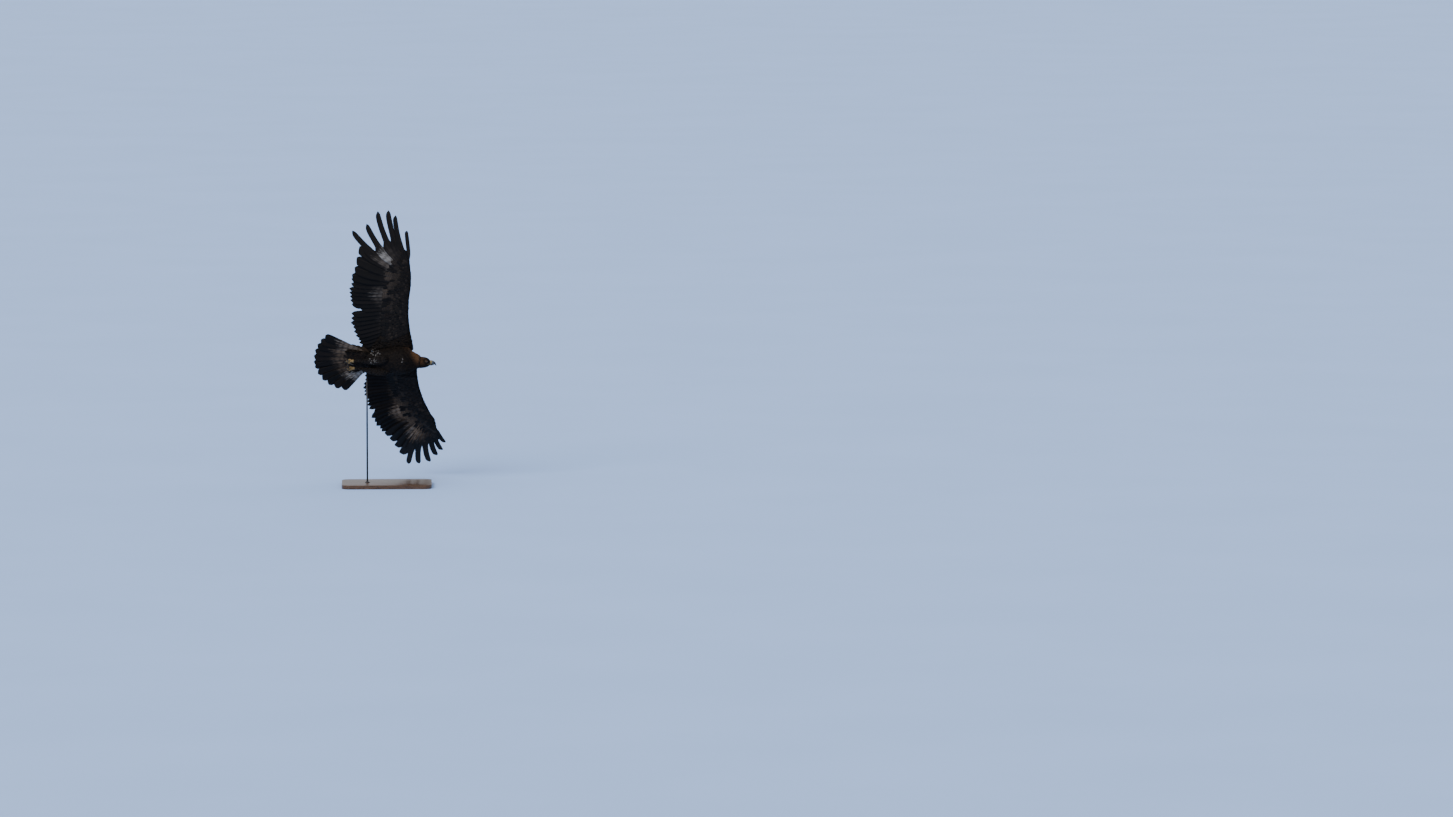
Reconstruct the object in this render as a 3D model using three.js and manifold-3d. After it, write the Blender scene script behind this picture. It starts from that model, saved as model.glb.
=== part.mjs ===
// A golden eagle banking in flight, life size, on a plain display stand.
// Millimetres, +Z up, the floor at z = 0 and the origin on the floor below the middle of the trunk.
// The bird is laid out level in its own frame: forward +X, left +Y, back up +Z, origin in the trunk.
// Its group then banks, yaws and pitches it on the stand, and the head's group turns the head level again.

import * as THREE from "three";
import { mergeVertices } from "three/addons/utils/BufferGeometryUtils.js";
import Module from "manifold-3d";

const wasm = await Module();
wasm.setup();

const rad = THREE.MathUtils.degToRad;
const { lerp, clamp, smoothstep } = THREE.MathUtils;
const at = (x, y, z) => new THREE.Vector3(x, y, z);

// Pose, in degrees: the left wing is down, the nose a little up and turned towards the viewer
const bank = 65;
const yaw = 8;
const pitch = 2;
const bodyHeight = 905;
const gap = 0.3;

// Trunk: station along X, half width, top and bottom of the plumage
const trunkStations = [
  [-206, 30, 26, -14],
  [-190, 50, 36, -30],
  [-150, 68, 46, -56],
  [-90, 84, 58, -80],
  [-20, 95, 66, -96],
  [50, 99, 68, -104],
  [110, 92, 64, -98],
  [150, 76, 54, -80],
  [178, 58, 42, -60],
];
const trunkSides = 16;
const trunkSteps = 12;

// Wing sheet: s runs out along the span from the bird's middle, c forward
const wingRootHeight = 46;
const dihedral = [[0, 0], [80, 12], [480, 12], [560, 15], [720, 17], [1150, 30]];
const shoulder = [80, 120];
const wrist = [530, 195];
const camberDepth = 26;
const camberChord = 400;
const sweep = { right: -3.5, left: 1.5 };
const handTurn = { right: -3, left: 6 };
const leadingEdge = {
  right: [[60, 154], [160, 147], [274, 148], [350, 157], [422, 170], [510, 193], [600, 211], [740, 222]],
  left: [[60, 172], [135, 159], [220, 154], [299, 155], [424, 170], [532, 195], [620, 204], [740, 206]],
};
const trailingEdge = {
  right: [
    [80, -208], [140, -222], [200, -236], [300, -254], [400, -240],
    [485, -236], [545, -240], [590, -222], [640, -206],
  ],
  left: [
    [80, -190], [125, -200], [243, -236], [300, -239], [407, -228],
    [494, -228], [530, -215], [590, -200], [640, -184],
  ],
};

// Arm and hand: station along s, chord of the fleshy part, its thickness
const armStations = [
  [50, 310, 60], [100, 284, 54], [150, 240, 50], [210, 200, 46], [300, 170, 40], [400, 150, 33],
  [480, 134, 29], [550, 122, 25], [620, 102, 20], [690, 72, 13], [735, 42, 6],
];
const armSides = 12;
const armSteps = 14;

// Flight feathers: tips on the sheet, primaries from the inmost out. A vane's rows are the share of
// its length, then its width before and behind the quill.
const primaryTips = {
  right: [
    [668, -203], [716, -176], [783, -150], [857, -118],
    [976, -151], [1008, -43], [1085, 48], [1081, 124], [1039, 171], [920, 224],
  ],
  left: [
    [712, -166], [783, -142], [866, -122], [958, -108],
    [1086, -104], [1098, -30], [1089, 52], [1014, 124], [955, 182], [871, 216],
  ],
};
const handRoots = { right: [[540, 128], [712, 212]], left: [[540, 128], [712, 194]] };
const armRoots = [[150, 30], [522, 108]];
const secondaryCount = 18;
const secondarySpan = { right: [640, 58], left: [655, 84] };
const moult = { right: { feather: 7, short: 62 }, left: { feather: 5, short: 34 } };
const unevenEnds = 4;
const fingerFrom = [0.62, 0.54, 0.45, 0.43, 0.42, 0.3];
const fingerVane = (from) =>
  [[0, 7, 11], [from * 0.45, 14, 34], [from, 17, 50], [from + 0.08, 13, 27], [0.9, 11, 19], [1, 2, 4]];
const fingerBend = [24, 30, 30, 20, 12, 2];
const outerVaneScale = 0.75;
const broadVane = [[0, 4, 5], [0.25, 13, 27], [0.6, 20, 52], [0.94, 20, 48], [1, 8, 18]];
const armVane = [[0, 4, 5], [0.35, 12, 23], [0.94, 17, 32], [1, 9, 14]];
const covertVane = [[0, 6, 8], [0.5, 13, 22], [0.88, 12, 19], [1, 4, 6]];
const vaneTilt = 0.09;
const vaneThickness = [1.9, 0.8];

// Tiers of coverts: where along the flight feathers they start and end, and their height over them
const coverTiers = [
  { count: 12, from: 0, to: 0.4, rise: [4, 7, 5], scale: 1.8 },
  { count: 8, from: -0.1, to: 0.23, rise: [8, 13, 10], scale: 2.4 },
];
const covertLength = 330;
const covertTilt = 0.05;
const alulaTips = [[640, 204], [672, 202], [702, 198]];
const alulaRoot = [545, 180];
const alulaRises = [[9, 10, 7], [10, 9, 5], [11, 8, 3]];
const alulaScale = 0.8;

// Tail: the feathers fan out as if from a point well inside the trunk
const tailApex = at(-34, -14, 34);
const tailDroop = 4;
const tailYaw = 3.5;
const tailHalves = [
  { mirror: 1, fan: 34.4, rounding: 0.00018 },
  { mirror: -1, fan: 28.8, rounding: 0.00013 },
];
const tailReach = 527;
const tailRootReach = 150;
const tailFeathers = 12;
const tailRootSpread = 0.62;
const tailVane = [[0, 5, 6], [0.4, 13, 26], [0.84, 18, 40], [0.95, 16, 36], [1, 5, 11]];
const tailCoverts = [
  { count: 6, reach: [140, 292], rise: [2, 9, 5] },
  { count: 6, reach: [140, 338], rise: [-12, -14, -7] },
];
const tailCovertScale = 1.4;
const rumpStations = [
  [126, 62, 6, -62],
  [160, 68, 6, -54],
  [200, 74, 6, -40],
  [240, 80, 5, -25],
  [275, 82, 4, -11],
];

// Neck, from inside the trunk to inside the head, and the head, which is held level
const neckStart = { place: at(120, 0, -16), width: 84, height: 74 };
const neckEnd = { place: at(211, -27, -14), width: 33, height: 41 };
const headPlace = at(242, -28, -13);
const headTilt = 5;
const headStations = [
  [-58, 21, 16, -30],
  [-48, 31, 29, -43],
  [-34, 36.5, 35, -46],
  [-16, 37.5, 36.5, -44],
  [2, 35, 34, -40],
  [14, 29.5, 28.5, -34.5],
  [23, 22.5, 21, -27.5],
  [29, 17.5, 16, -23],
];
const billTop = [[0, 14.5], [10, 15.5], [20, 14], [32, 7.5], [41, -3], [45, -14], [46, -23]];
const billEdge = [[0, -9.5], [12, -9], [22, -9.5], [31, -11], [38, -15], [43, -20], [46, -23]];
const billWidth = [[0, 13.5], [10, 12.5], [20, 10], [30, 7], [38, 4.2], [44, 1.8], [46, 0.7]];
const billStart = 28;
const billLength = 46;
const billLowerDepth = [[0, -22.5], [10, -21.5], [20, -19], [28, -14.5], [31, -12.5]];
const cereLength = 12;
const eyePlace = at(-1, 26.5, 9);
const eyeRadius = 11.5;
const browStations = [[-19, 24, 19, 4, 4], [-4, 29.5, 21, 7, 4.5], [12, 27, 17, 6, 4], [25, 14, 9, 4, 3]];
const lidRing = { radius: 10.2, thickness: 2, outward: 4.6 };
const crownNarrowing = 0.16;
const nostrilPlace = at(7.5, 12.6, 3.5);
const nostrilSize = at(2.2, 2.5, 3.4);
const nostrilTilt = 30;

// Legs, held back under the tail
const thighStations = [
  [-10, 46, -66, 30, 34],
  [-60, 46, -78, 34, 34],
  [-120, 42, -80, 30, 28],
  [-172, 37, -72, 22, 21],
  [-208, 33, -62, 15, 15],
];
const shankStations = [
  [-200, 33, -60, 12, 13],
  [-222, 32, -58, 13, 13],
  [-246, 31, -55, 12, 12],
  [-264, 30, -53, 10, 11],
];
const footPlace = at(-272, 30, -52);
const soleRadius = 11.5;
const toes = [
  { name: "inner", turn: -24, lift: -8, length: 38, claw: 34 },
  { name: "middle", turn: 0, lift: 2, length: 50, claw: 30 },
  { name: "outer", turn: 22, lift: -6, length: 38, claw: 26 },
  { name: "hind", turn: 4, lift: -46, length: 27, claw: 42 },
];
const toeRadius = 8;
const clawBend = 95;
const clawThickness = [5.4, 0.5];

// Stand
const rodRadius = 6;
const rodPlace = at(-178, 34, 0);
const rodDepthInBody = 34;
const baseSize = at(640, 460, 28);
const baseCentre = at(-40, 60, 0);
const baseCorner = 60;
const baseBevel = 4;

const materials = {
  plumage: new THREE.MeshStandardMaterial({ color: 0x1c1511, roughness: 0.85 }),
  nape: new THREE.MeshStandardMaterial({ color: 0x4a2e1a, roughness: 0.85 }),
  flight: new THREE.MeshStandardMaterial({ color: 0x16120f, roughness: 0.7 }),
  horn: new THREE.MeshStandardMaterial({ color: 0x15151a, roughness: 0.35 }),
  cere: new THREE.MeshStandardMaterial({ color: 0xb08a3a, roughness: 0.5 }),
  eye: new THREE.MeshStandardMaterial({ color: 0x6b3f14, roughness: 0.1 }),
  foot: new THREE.MeshStandardMaterial({ color: 0xb58a38, roughness: 0.6 }),
  steel: new THREE.MeshStandardMaterial({ color: 0x2a2b2d, roughness: 0.4, metalness: 0.8 }),
  wood: new THREE.MeshStandardMaterial({ color: 0x4a3020, roughness: 0.5 }),
};

// Smooth curve through the rows of a table: the first column is the place, the rest are the values there.
function fromTable(rows) {
  return (x) => {
    const last = rows.length - 1;
    let i = rows.findIndex((row) => row[0] > x) - 1;
    if (i < 0) i = x < rows[0][0] ? 0 : last - 1;
    const a = rows[Math.max(i - 1, 0)];
    const b = rows[i];
    const c = rows[i + 1];
    const d = rows[Math.min(i + 2, last)];
    const t = clamp((x - b[0]) / (c[0] - b[0]), 0, 1);
    return b.slice(1).map((value, k) => {
      const next = c[k + 1];
      const slopeIn = ((next - a[k + 1]) / (c[0] - a[0])) * (c[0] - b[0]);
      const slopeOut = ((d[k + 1] - value) / (d[0] - b[0])) * (c[0] - b[0]);
      const t2 = t * t;
      const t3 = t2 * t;
      const ends = (2 * t3 - 3 * t2 + 1) * value + (3 * t2 - 2 * t3) * next;
      return ends + (t3 - 2 * t2 + t) * slopeIn + (t3 - t2) * slopeOut;
    });
  };
}

// A closed geometry as a solid. A mapping that turned it inside out is put right.
function solidOf(geometry) {
  const bare = geometry.clone();
  bare.deleteAttribute("normal");
  bare.deleteAttribute("uv");
  const merged = mergeVertices(bare, 1e-3);
  const triVerts = new Uint32Array(merged.index.array);
  const vertProperties = merged.attributes.position.array;
  const make = () => new wasm.Manifold(new wasm.Mesh({ numProp: 3, vertProperties, triVerts }));
  const made = make();
  if (made.volume() >= 0) return made;
  for (let i = 0; i < triVerts.length; i += 3) {
    [triVerts[i], triVerts[i + 1]] = [triVerts[i + 1], triVerts[i]];
  }
  return make();
}

function geometryOf(solid) {
  const { numProp, numVert, vertProperties, triVerts } = solid.getMesh();
  const positions = new Float32Array(numVert * 3);
  for (let i = 0; i < numVert; i += 1) {
    positions.set(vertProperties.subarray(i * numProp, i * numProp + 3), i * 3);
  }
  const geometry = new THREE.BufferGeometry();
  geometry.setAttribute("position", new THREE.BufferAttribute(positions, 3));
  geometry.setIndex(new THREE.BufferAttribute(triVerts, 1));
  return geometry;
}

const union = (solids) => solids.reduce((sum, next) => sum.add(next));
const larger = (one, two) => (two.volume() > one.volume() ? two : one);
const largest = (solid) => solid.decompose().reduce(larger);
const without = (solid, ...others) => largest(others.reduce((rest, other) => rest.subtract(other), solid));

// A skin of rings: place(t, angle) gives the point at t of the way along, with flat ends.
function loft(sides, steps, place) {
  const geometry = new THREE.CylinderGeometry(1, 1, 1, sides, steps);
  const position = geometry.attributes.position;
  const point = new THREE.Vector3();
  for (let i = 0; i < position.count; i += 1) {
    point.fromBufferAttribute(position, i);
    const t = Math.round((0.5 - point.y) * steps) / steps;
    if (Math.hypot(point.x, point.z) > 0.5) {
      point.copy(place(t, Math.atan2(point.z, point.x)));
    } else {
      point.set(0, 0, 0);
      for (let k = 0; k < sides; k += 1) {
        point.addScaledVector(place(t, (k / sides) * 2 * Math.PI), 1 / sides);
      }
    }
    position.setXYZ(i, point.x, point.y, point.z);
  }
  return solidOf(geometry);
}

// Trunk with its plumage; grow swells it, for the gap to its neighbours.
function trunk(grow = 0) {
  const size = fromTable(trunkStations);
  const first = trunkStations[0][0] - grow;
  const last = trunkStations.at(-1)[0] + grow;
  return loft(trunkSides, trunkSteps, (t, angle) => {
    const x = lerp(first, last, t);
    const [halfWidth, top, bottom] = size(x);
    const middle = (top + bottom) / 2;
    const halfHeight = (top - bottom) / 2;
    return at(x, (halfWidth + grow) * Math.cos(angle), middle + (halfHeight + grow) * Math.sin(angle));
  });
}

// Where the sheet's span station s lies across and above the bird, and how steep the sheet is there.
function spanPoint(s) {
  const angleAt = (x) => {
    const i = Math.max(dihedral.findIndex((row) => row[0] > x), 1);
    const [[x0, a0], [x1, a1]] = x < dihedral.at(-1)[0] ? dihedral.slice(i - 1, i + 1) : dihedral.slice(-2);
    return rad(lerp(a0, a1, (x - x0) / (x1 - x0)));
  };
  const steps = 60;
  const point = { across: 0, up: wingRootHeight, angle: angleAt(s) };
  for (let i = 0; i < steps; i += 1) {
    const angle = angleAt(((i + 0.5) / steps) * s);
    point.across += (Math.cos(angle) * s) / steps;
    point.up += (Math.sin(angle) * s) / steps;
  }
  return point;
}

function turned([s, c], [aroundS, aroundC], degrees) {
  const angle = rad(degrees);
  const ds = s - aroundS;
  const dc = c - aroundC;
  return [
    aroundS + ds * Math.cos(angle) - dc * Math.sin(angle),
    aroundC + ds * Math.sin(angle) + dc * Math.cos(angle),
  ];
}

// A point of a wing: s and c on the flat sheet, n above it. The hand turns at the wrist, the whole
// wing at the shoulder.
function wingPoint(side, s, c, n) {
  const handShare = smoothstep(s, 440, 620);
  const bent = turned([s, c], wrist, handTurn[side] * handShare);
  const [s1, c1] = turned(bent, shoulder, sweep[side] * smoothstep(s, 60, 200));
  const { across, up, angle } = spanPoint(s1);
  const edge = fromTable(leadingEdge[side])(s)[0];
  const fade = lerp(1, 0.35, smoothstep(s, 500, 900)) * smoothstep(s, 60, 260);
  const height = n - camberDepth * fade * clamp((edge - c) / camberChord, 0, 1.3) ** 2;
  const mirror = side === "left" ? 1 : -1;
  return at(c1, mirror * (across - height * Math.sin(angle)), up + height * Math.cos(angle));
}

// Flesh of arm and hand, from the shoulder inside the trunk to the end of the fingers' bones.
function wingCore(side) {
  const edge = fromTable(leadingEdge[side]);
  const size = fromTable(armStations);
  const first = armStations[0][0];
  const last = armStations.at(-1)[0];
  return loft(armSides, armSteps, (t, angle) => {
    const s = lerp(first, last, t);
    const [chord, thickness] = size(s);
    const along = (1 - Math.cos(angle)) / 2;
    const profile = Math.sin(angle) * (1 - 0.62 * along) * 1.25;
    return wingPoint(side, s, edge(s)[0] - along * chord, (profile * thickness) / 2);
  });
}

// The alike split of a thin strip's two faces, so that they can't cross where it curves.
function splitAlike(box) {
  const under = box.groups[3];
  const index = box.index;
  for (let i = under.start; i < under.start + under.count; i += 6) {
    const [a, b, d, , c] = [0, 1, 2, 3, 4].map((k) => index.getX(i + k));
    [a, b, c, a, c, d].forEach((corner, k) => index.setX(i + k, corner));
  }
  return box;
}

// A vane: a thin strip over a sheet from root to tip, its front edge raised and its back edge lowered.
function vane(place, root, tip, rows, { rise = [0, 0, 0], tilt = vaneTilt, scale = 1, bend = 0 } = {}) {
  const steps = rows.length - 1;
  const box = splitAlike(new THREE.BoxGeometry(1, 1, 1, steps, 1, 1));
  const position = box.attributes.position;
  const length = Math.hypot(tip[0] - root[0], tip[1] - root[1]);
  const along = [(tip[0] - root[0]) / length, (tip[1] - root[1]) / length];
  for (let i = 0; i < position.count; i += 1) {
    const [t, front, back] = rows[Math.round((position.getX(i) + 0.5) * steps)];
    const across = (position.getZ(i) > 0 ? front : -back) * scale;
    const thickness = lerp(...vaneThickness, t);
    const middle = t < 0.5 ? lerp(rise[0], rise[1], t * 2) : lerp(rise[1], rise[2], t * 2 - 1);
    const n = middle + across * tilt + position.getY(i) * thickness;
    const aside = across - bend * Math.sin(Math.PI * t);
    const s = root[0] + along[0] * length * t - along[1] * aside;
    const c = root[1] + along[1] * length * t + along[0] * aside;
    const point = place(s, c, n);
    position.setXYZ(i, point.x, point.y, point.z);
  }
  return solidOf(box);
}

const between = (a, b, t) => a.map((value, k) => lerp(value, b[k], t));

// Every flight feather of a wing, from the tip of the hand to the body: its root, tip and rows.
function flightFeathers(side) {
  const back = fromTable(trailingEdge[side]);
  const tips = primaryTips[side];
  const broadCount = tips.length - fingerFrom.length;
  const primaries = tips.map((tip, i) => ({
    root: between(...handRoots[side], i / (tips.length - 1)),
    tip,
    rows: i < broadCount ? broadVane : fingerVane(fingerFrom[i - broadCount]),
    bend: i < broadCount ? 0 : fingerBend[i - broadCount],
    scale: i === tips.length - 1 ? outerVaneScale : 1,
  }));
  const secondaries = Array.from({ length: secondaryCount }, (_, i) => {
    const t = i / (secondaryCount - 1);
    const s = lerp(...secondarySpan[side], t);
    const short = i === moult[side].feather ? moult[side].short : unevenEnds * Math.sin(i * 2.4);
    const root = between(armRoots[1], armRoots[0], t);
    return { root, tip: [s, back(s)[0] + short], rows: armVane, bend: 0, scale: 1 };
  });
  return [...primaries.reverse(), ...secondaries];
}

// Flight feathers, the tiers of coverts over and under them, and the small thumb wing.
function wingFeathers(side) {
  const place = (s, c, n) => wingPoint(side, s, c, n);
  const feathers = flightFeathers(side);
  const flight = feathers.map(({ root, tip, rows, ...shape }) => vane(place, root, tip, rows, shape));
  const coverts = coverTiers.flatMap(({ count, from, to, rise, scale }) =>
    Array.from({ length: count }, (_, k) => (k + 0.5) * (feathers.length - 1) / count).flatMap((spot) => {
      const [one, two] = [feathers[Math.floor(spot)], feathers[Math.floor(spot) + 1]];
      const root = between(one.root, two.root, spot % 1);
      const tip = between(one.tip, two.tip, spot % 1);
      const reach = Math.min(1, covertLength / Math.hypot(tip[0] - root[0], tip[1] - root[1]));
      const [start, end] = [from, to].map((share) => between(root, tip, share * reach));
      return [1, -1].map((face) => {
        const shape = { rise: rise.map((value) => value * face), tilt: covertTilt, scale };
        return vane(place, start, end, covertVane, shape);
      });
    }));
  const alula = alulaTips.map((tip, i) =>
    vane(place, alulaRoot, tip, covertVane, { rise: alulaRises[i], scale: alulaScale }));
  return union([...flight, ...coverts, ...alula]);
}

// A point of the tail's own sheet: s to the left, c forward of its apex, n above it.
function tailPoint(s, c, n) {
  const point = at(c, s, n);
  point.applyAxisAngle(at(0, 0, 1), -rad(tailYaw));
  point.applyAxisAngle(at(0, 1, 0), -rad(tailDroop));
  return point.add(tailApex);
}

const polar = (angle, reach) => [reach * Math.sin(rad(angle)), -reach * Math.cos(rad(angle))];

// The rump and the small feathers over and under the quills, which carry the fan.
function tailRump() {
  const size = fromTable(rumpStations);
  const first = rumpStations[0][0];
  const last = rumpStations.at(-1)[0];
  return loft(12, 6, (t, angle) => {
    const reach = lerp(first, last, t);
    const [halfWidth, top, bottom] = size(reach);
    const height = (top + bottom) / 2 + (Math.sin(angle) * (top - bottom)) / 2;
    return tailPoint(halfWidth * Math.cos(angle), -reach, height);
  });
}

// Tail feathers, the middle pair on top, with coverts over and under their quills.
function tailFan() {
  return union(tailHalves.flatMap(({ mirror, fan, rounding }) => {
    const place = (s, c, n) => tailPoint(mirror * s, c, n);
    const pairs = tailFeathers / 2;
    const feathers = Array.from({ length: pairs }, (_, i) => {
      const angle = fan * ((i + 0.45) / (pairs - 0.5));
      const reach = tailReach * (1 - rounding * angle ** 2);
      return vane(place, polar(angle * tailRootSpread, tailRootReach), polar(angle, reach), tailVane);
    });
    const coverts = tailCoverts.flatMap(({ count, reach, rise }) =>
      Array.from({ length: count / 2 }, (_, i) => {
        const angle = fan * ((i + 0.4) / (count / 2)) * 0.9;
        const start = polar(angle * tailRootSpread, reach[0]);
        const end = polar(angle, reach[1] * (1 - 0.05 * i));
        return vane(place, start, end, covertVane, { rise, tilt: covertTilt, scale: tailCovertScale });
      }));
    return [...feathers, ...coverts];
  }));
}

// A round limb through its stations of place, half width and half height, with domed ends.
function limb(stations, sides, steps, grow = 0) {
  const line = new THREE.CatmullRomCurve3(stations.map(([x, y, z]) => at(x, y, z)));
  const girth = new THREE.CatmullRomCurve3(stations.map(([, , , width, height]) => at(width, height, 0)));
  const length = line.getLength();
  const up = at(0, 0, 1);
  return loft(sides, steps, (t, angle) => {
    const u = (1 - Math.cos(t * Math.PI)) / 2;
    const size = girth.getPoint(u).addScalar(grow);
    const dome = size.x / length;
    const inset = Math.min(u, 1 - u);
    const share = inset < dome ? Math.sqrt(Math.max(1 - ((dome - inset) / dome) ** 2, 0.04)) : 1;
    const along = line.getTangent(u);
    const side = at(0, 0, 0).crossVectors(up, along).normalize();
    const above = at(0, 0, 0).crossVectors(along, side);
    const end = u < 0.5 ? -1 : 1;
    return line.getPoint(u)
      .addScaledVector(side, size.x * share * Math.cos(angle))
      .addScaledVector(above, size.y * share * Math.sin(angle))
      .addScaledVector(along, inset === 0 ? end * grow : 0);
  });
}

const mirrorOf = (side) => (side === "left" ? 1 : -1);
const mirrored = (stations, side) => stations.map(([x, y, ...rest]) => [x, y * mirrorOf(side), ...rest]);
const thigh = (side, grow) => limb(mirrored(thighStations, side), 12, 9, grow);
const shank = (side, grow) => limb(mirrored(shankStations, side), 10, 7, grow);

// A toe's own line, from the sole out: straight, then curled down.
function toeLine(toe, side) {
  const mirror = mirrorOf(side);
  const start = footPlace.clone().setY(footPlace.y * mirror);
  const heading = rad(toe.turn) * mirror;
  const place = (distance, lift) => {
    const level = Math.cos(lift) * distance;
    return at(-Math.cos(heading) * level, Math.sin(heading) * level, Math.sin(lift) * distance);
  };
  const knuckle = start.clone().add(place(toe.length * 0.6, rad(toe.lift + 10)));
  const tip = knuckle.clone().add(place(toe.length * 0.45, rad(toe.lift - 40)));
  return { start, knuckle, tip, heading };
}

function foot(side, grow = 0) {
  const sphere = solidOf(new THREE.SphereGeometry(soleRadius + grow, 8, 6));
  const sole = sphere.translate(footPlace.x, footPlace.y * mirrorOf(side), footPlace.z);
  return union([sole, ...toes.map((toe) => {
    const { start, knuckle, tip } = toeLine(toe, side);
    const row = (point, share) => [point.x, point.y, point.z, toeRadius * share, toeRadius * share];
    return limb([row(start, 1.1), row(knuckle, 1), row(tip, 0.82)], 6, 4, grow);
  })]);
}

// A claw: a cone bent through a third of a turn, from inside the toe's end.
function claw(toe, side) {
  const { knuckle, tip, heading } = toeLine(toe, side);
  const along = tip.clone().sub(knuckle).normalize();
  const across = at(Math.sin(heading), Math.cos(heading), 0);
  const bend = rad(clawBend);
  const radius = toe.claw / bend;
  const inward = at(0, 0, 0).crossVectors(across, along).normalize();
  if (inward.z > 0) inward.negate();
  const centre = tip.clone().addScaledVector(inward, radius);
  return loft(6, 5, (t, angle) => {
    const turn = bend * t;
    const out = inward.clone().multiplyScalar(-Math.cos(turn)).addScaledVector(along, Math.sin(turn));
    const thick = lerp(...clawThickness, t ** 1.15);
    return centre.clone()
      .addScaledVector(out, radius + thick * Math.cos(angle))
      .addScaledVector(across, thick * 0.8 * Math.sin(angle));
  });
}

// Head, in its own frame: forward +X, left +Y, up +Z, origin between the eyes
function skull(grow = 0) {
  const size = fromTable(headStations);
  const first = headStations[0][0] - grow;
  const last = headStations.at(-1)[0] + grow;
  return loft(16, 10, (t, angle) => {
    const x = lerp(first, last, t);
    const [halfWidth, top, bottom] = size(x);
    const middle = (top + bottom) / 2;
    const half = (top - bottom) / 2 + grow;
    const narrow = 1 - crownNarrowing * Math.max(Math.sin(angle), 0) ** 2;
    return at(x, (halfWidth + grow) * Math.cos(angle) * narrow, middle + half * Math.sin(angle));
  });
}

// The brow that shades each eye, and the raised rim of the lids.
const brow = (side) => limb(mirrored(browStations, side), 6, 4);
const eyeCentre = (side) => eyePlace.clone().setY(eyePlace.y * mirrorOf(side));

function ball(radius, place) {
  return solidOf(new THREE.SphereGeometry(radius, 12, 8)).translate(place.x, place.y, place.z);
}

function lids(side) {
  const ring = new THREE.TorusGeometry(lidRing.radius, lidRing.thickness, 4, 12);
  ring.rotateX(Math.PI / 2);
  ring.translate(eyePlace.x, (eyePlace.y + lidRing.outward) * mirrorOf(side), eyePlace.z);
  return solidOf(ring);
}

function billUpper(grow = 0) {
  const top = fromTable(billTop);
  const edge = fromTable(billEdge);
  const width = fromTable(billWidth);
  return loft(12, 12, (t, angle) => {
    const x = lerp(-4, billLength, t);
    const up = Math.sin(angle);
    const bottom = edge(x)[0] - grow;
    const above = top(x)[0] + grow;
    return at(billStart + x, (width(x)[0] + grow) * Math.cos(angle), lerp(bottom, above, (up + 1) / 2));
  });
}

function billLower() {
  const bottom = fromTable(billLowerDepth);
  const top = fromTable(billEdge);
  const width = fromTable(billWidth);
  return loft(10, 8, (t, angle) => {
    const x = lerp(-6, 30, t);
    const above = Math.max(top(x)[0], -12) - 0.5;
    const across = (width(x)[0] - 1.2) * 0.92 * Math.cos(angle);
    return at(billStart + x, across, lerp(bottom(x)[0], above, (Math.sin(angle) + 1) / 2));
  });
}

function slab(x0, x1) {
  const geometry = new THREE.BoxGeometry(x1 - x0, 120, 120);
  geometry.translate((x0 + x1) / 2, 0, 0);
  return solidOf(geometry);
}

function nostril(side) {
  const hole = new THREE.SphereGeometry(1, 8, 5);
  hole.scale(nostrilSize.x, nostrilSize.y, nostrilSize.z);
  hole.rotateY(rad(nostrilTilt));
  hole.translate(billStart + nostrilPlace.x, nostrilPlace.y * mirrorOf(side), nostrilPlace.z);
  return solidOf(hole);
}

// Neck: its sections turn from the banked trunk's to the level head's.
function neck() {
  const start = bird.localToWorld(neckStart.place.clone()).sub(bird.position);
  const level = new THREE.Quaternion();
  const line = new THREE.CatmullRomCurve3([
    start,
    start.clone().lerp(neckEnd.place, 0.5).add(at(4, -4, 2)),
    neckEnd.place,
  ]);
  return loft(18, 7, (t, angle) => {
    const turn = bird.quaternion.clone().slerp(level, smoothstep(t, 0, 1));
    const width = lerp(neckStart.width, neckEnd.width, t ** 0.8);
    const height = lerp(neckStart.height, neckEnd.height, t ** 0.8);
    const offset = at(0, width * Math.cos(angle), height * Math.sin(angle)).applyQuaternion(turn);
    return line.getPoint(t).add(offset).add(bird.position);
  });
}

function mesh(name, solid, material, parent) {
  const made = new THREE.Mesh(geometryOf(solid), material);
  made.name = name;
  parent.add(made);
  return made;
}

const eagle = new THREE.Group();
const bird = new THREE.Group();
bird.position.set(0, 0, bodyHeight);
bird.rotation.set(-rad(bank), -rad(pitch), -rad(yaw), "YZX");
const head = new THREE.Group();
head.position.copy(headPlace).add(bird.position);
head.rotation.y = rad(headTilt);
eagle.add(bird, head);
eagle.updateMatrixWorld(true);

const toWorld = (solid, group) => solid.transform([...group.matrixWorld.elements]);
const toLocal = (solid, group) => solid.transform([...group.matrixWorld.clone().invert().elements]);

// Stand: a base with round corners and one rod into the left flank
function standBase() {
  const half = { x: baseSize.x / 2 - baseBevel, y: baseSize.y / 2 - baseBevel };
  const corner = baseCorner - baseBevel;
  const inner = { x: half.x - corner, y: half.y - corner };
  const outline = new THREE.Shape();
  outline.absarc(inner.x, -inner.y, corner, -Math.PI / 2, 0, false);
  outline.absarc(inner.x, inner.y, corner, 0, Math.PI / 2, false);
  outline.absarc(-inner.x, inner.y, corner, Math.PI / 2, Math.PI, false);
  outline.absarc(-inner.x, -inner.y, corner, Math.PI, Math.PI * 1.5, false);
  outline.closePath();
  const geometry = new THREE.ExtrudeGeometry(outline, {
    depth: baseSize.z - 2 * baseBevel,
    bevelEnabled: true,
    bevelThickness: baseBevel,
    bevelSize: baseBevel,
    bevelSegments: 1,
    curveSegments: 4,
  });
  geometry.translate(baseCentre.x, baseCentre.y, baseBevel);
  return solidOf(geometry);
}

function rod(bottom, top, radius) {
  const geometry = new THREE.CylinderGeometry(radius, radius, top - bottom, 20);
  geometry.rotateX(Math.PI / 2);
  geometry.translate(rodPlace.x, rodPlace.y, (top + bottom) / 2);
  return solidOf(geometry);
}

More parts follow.
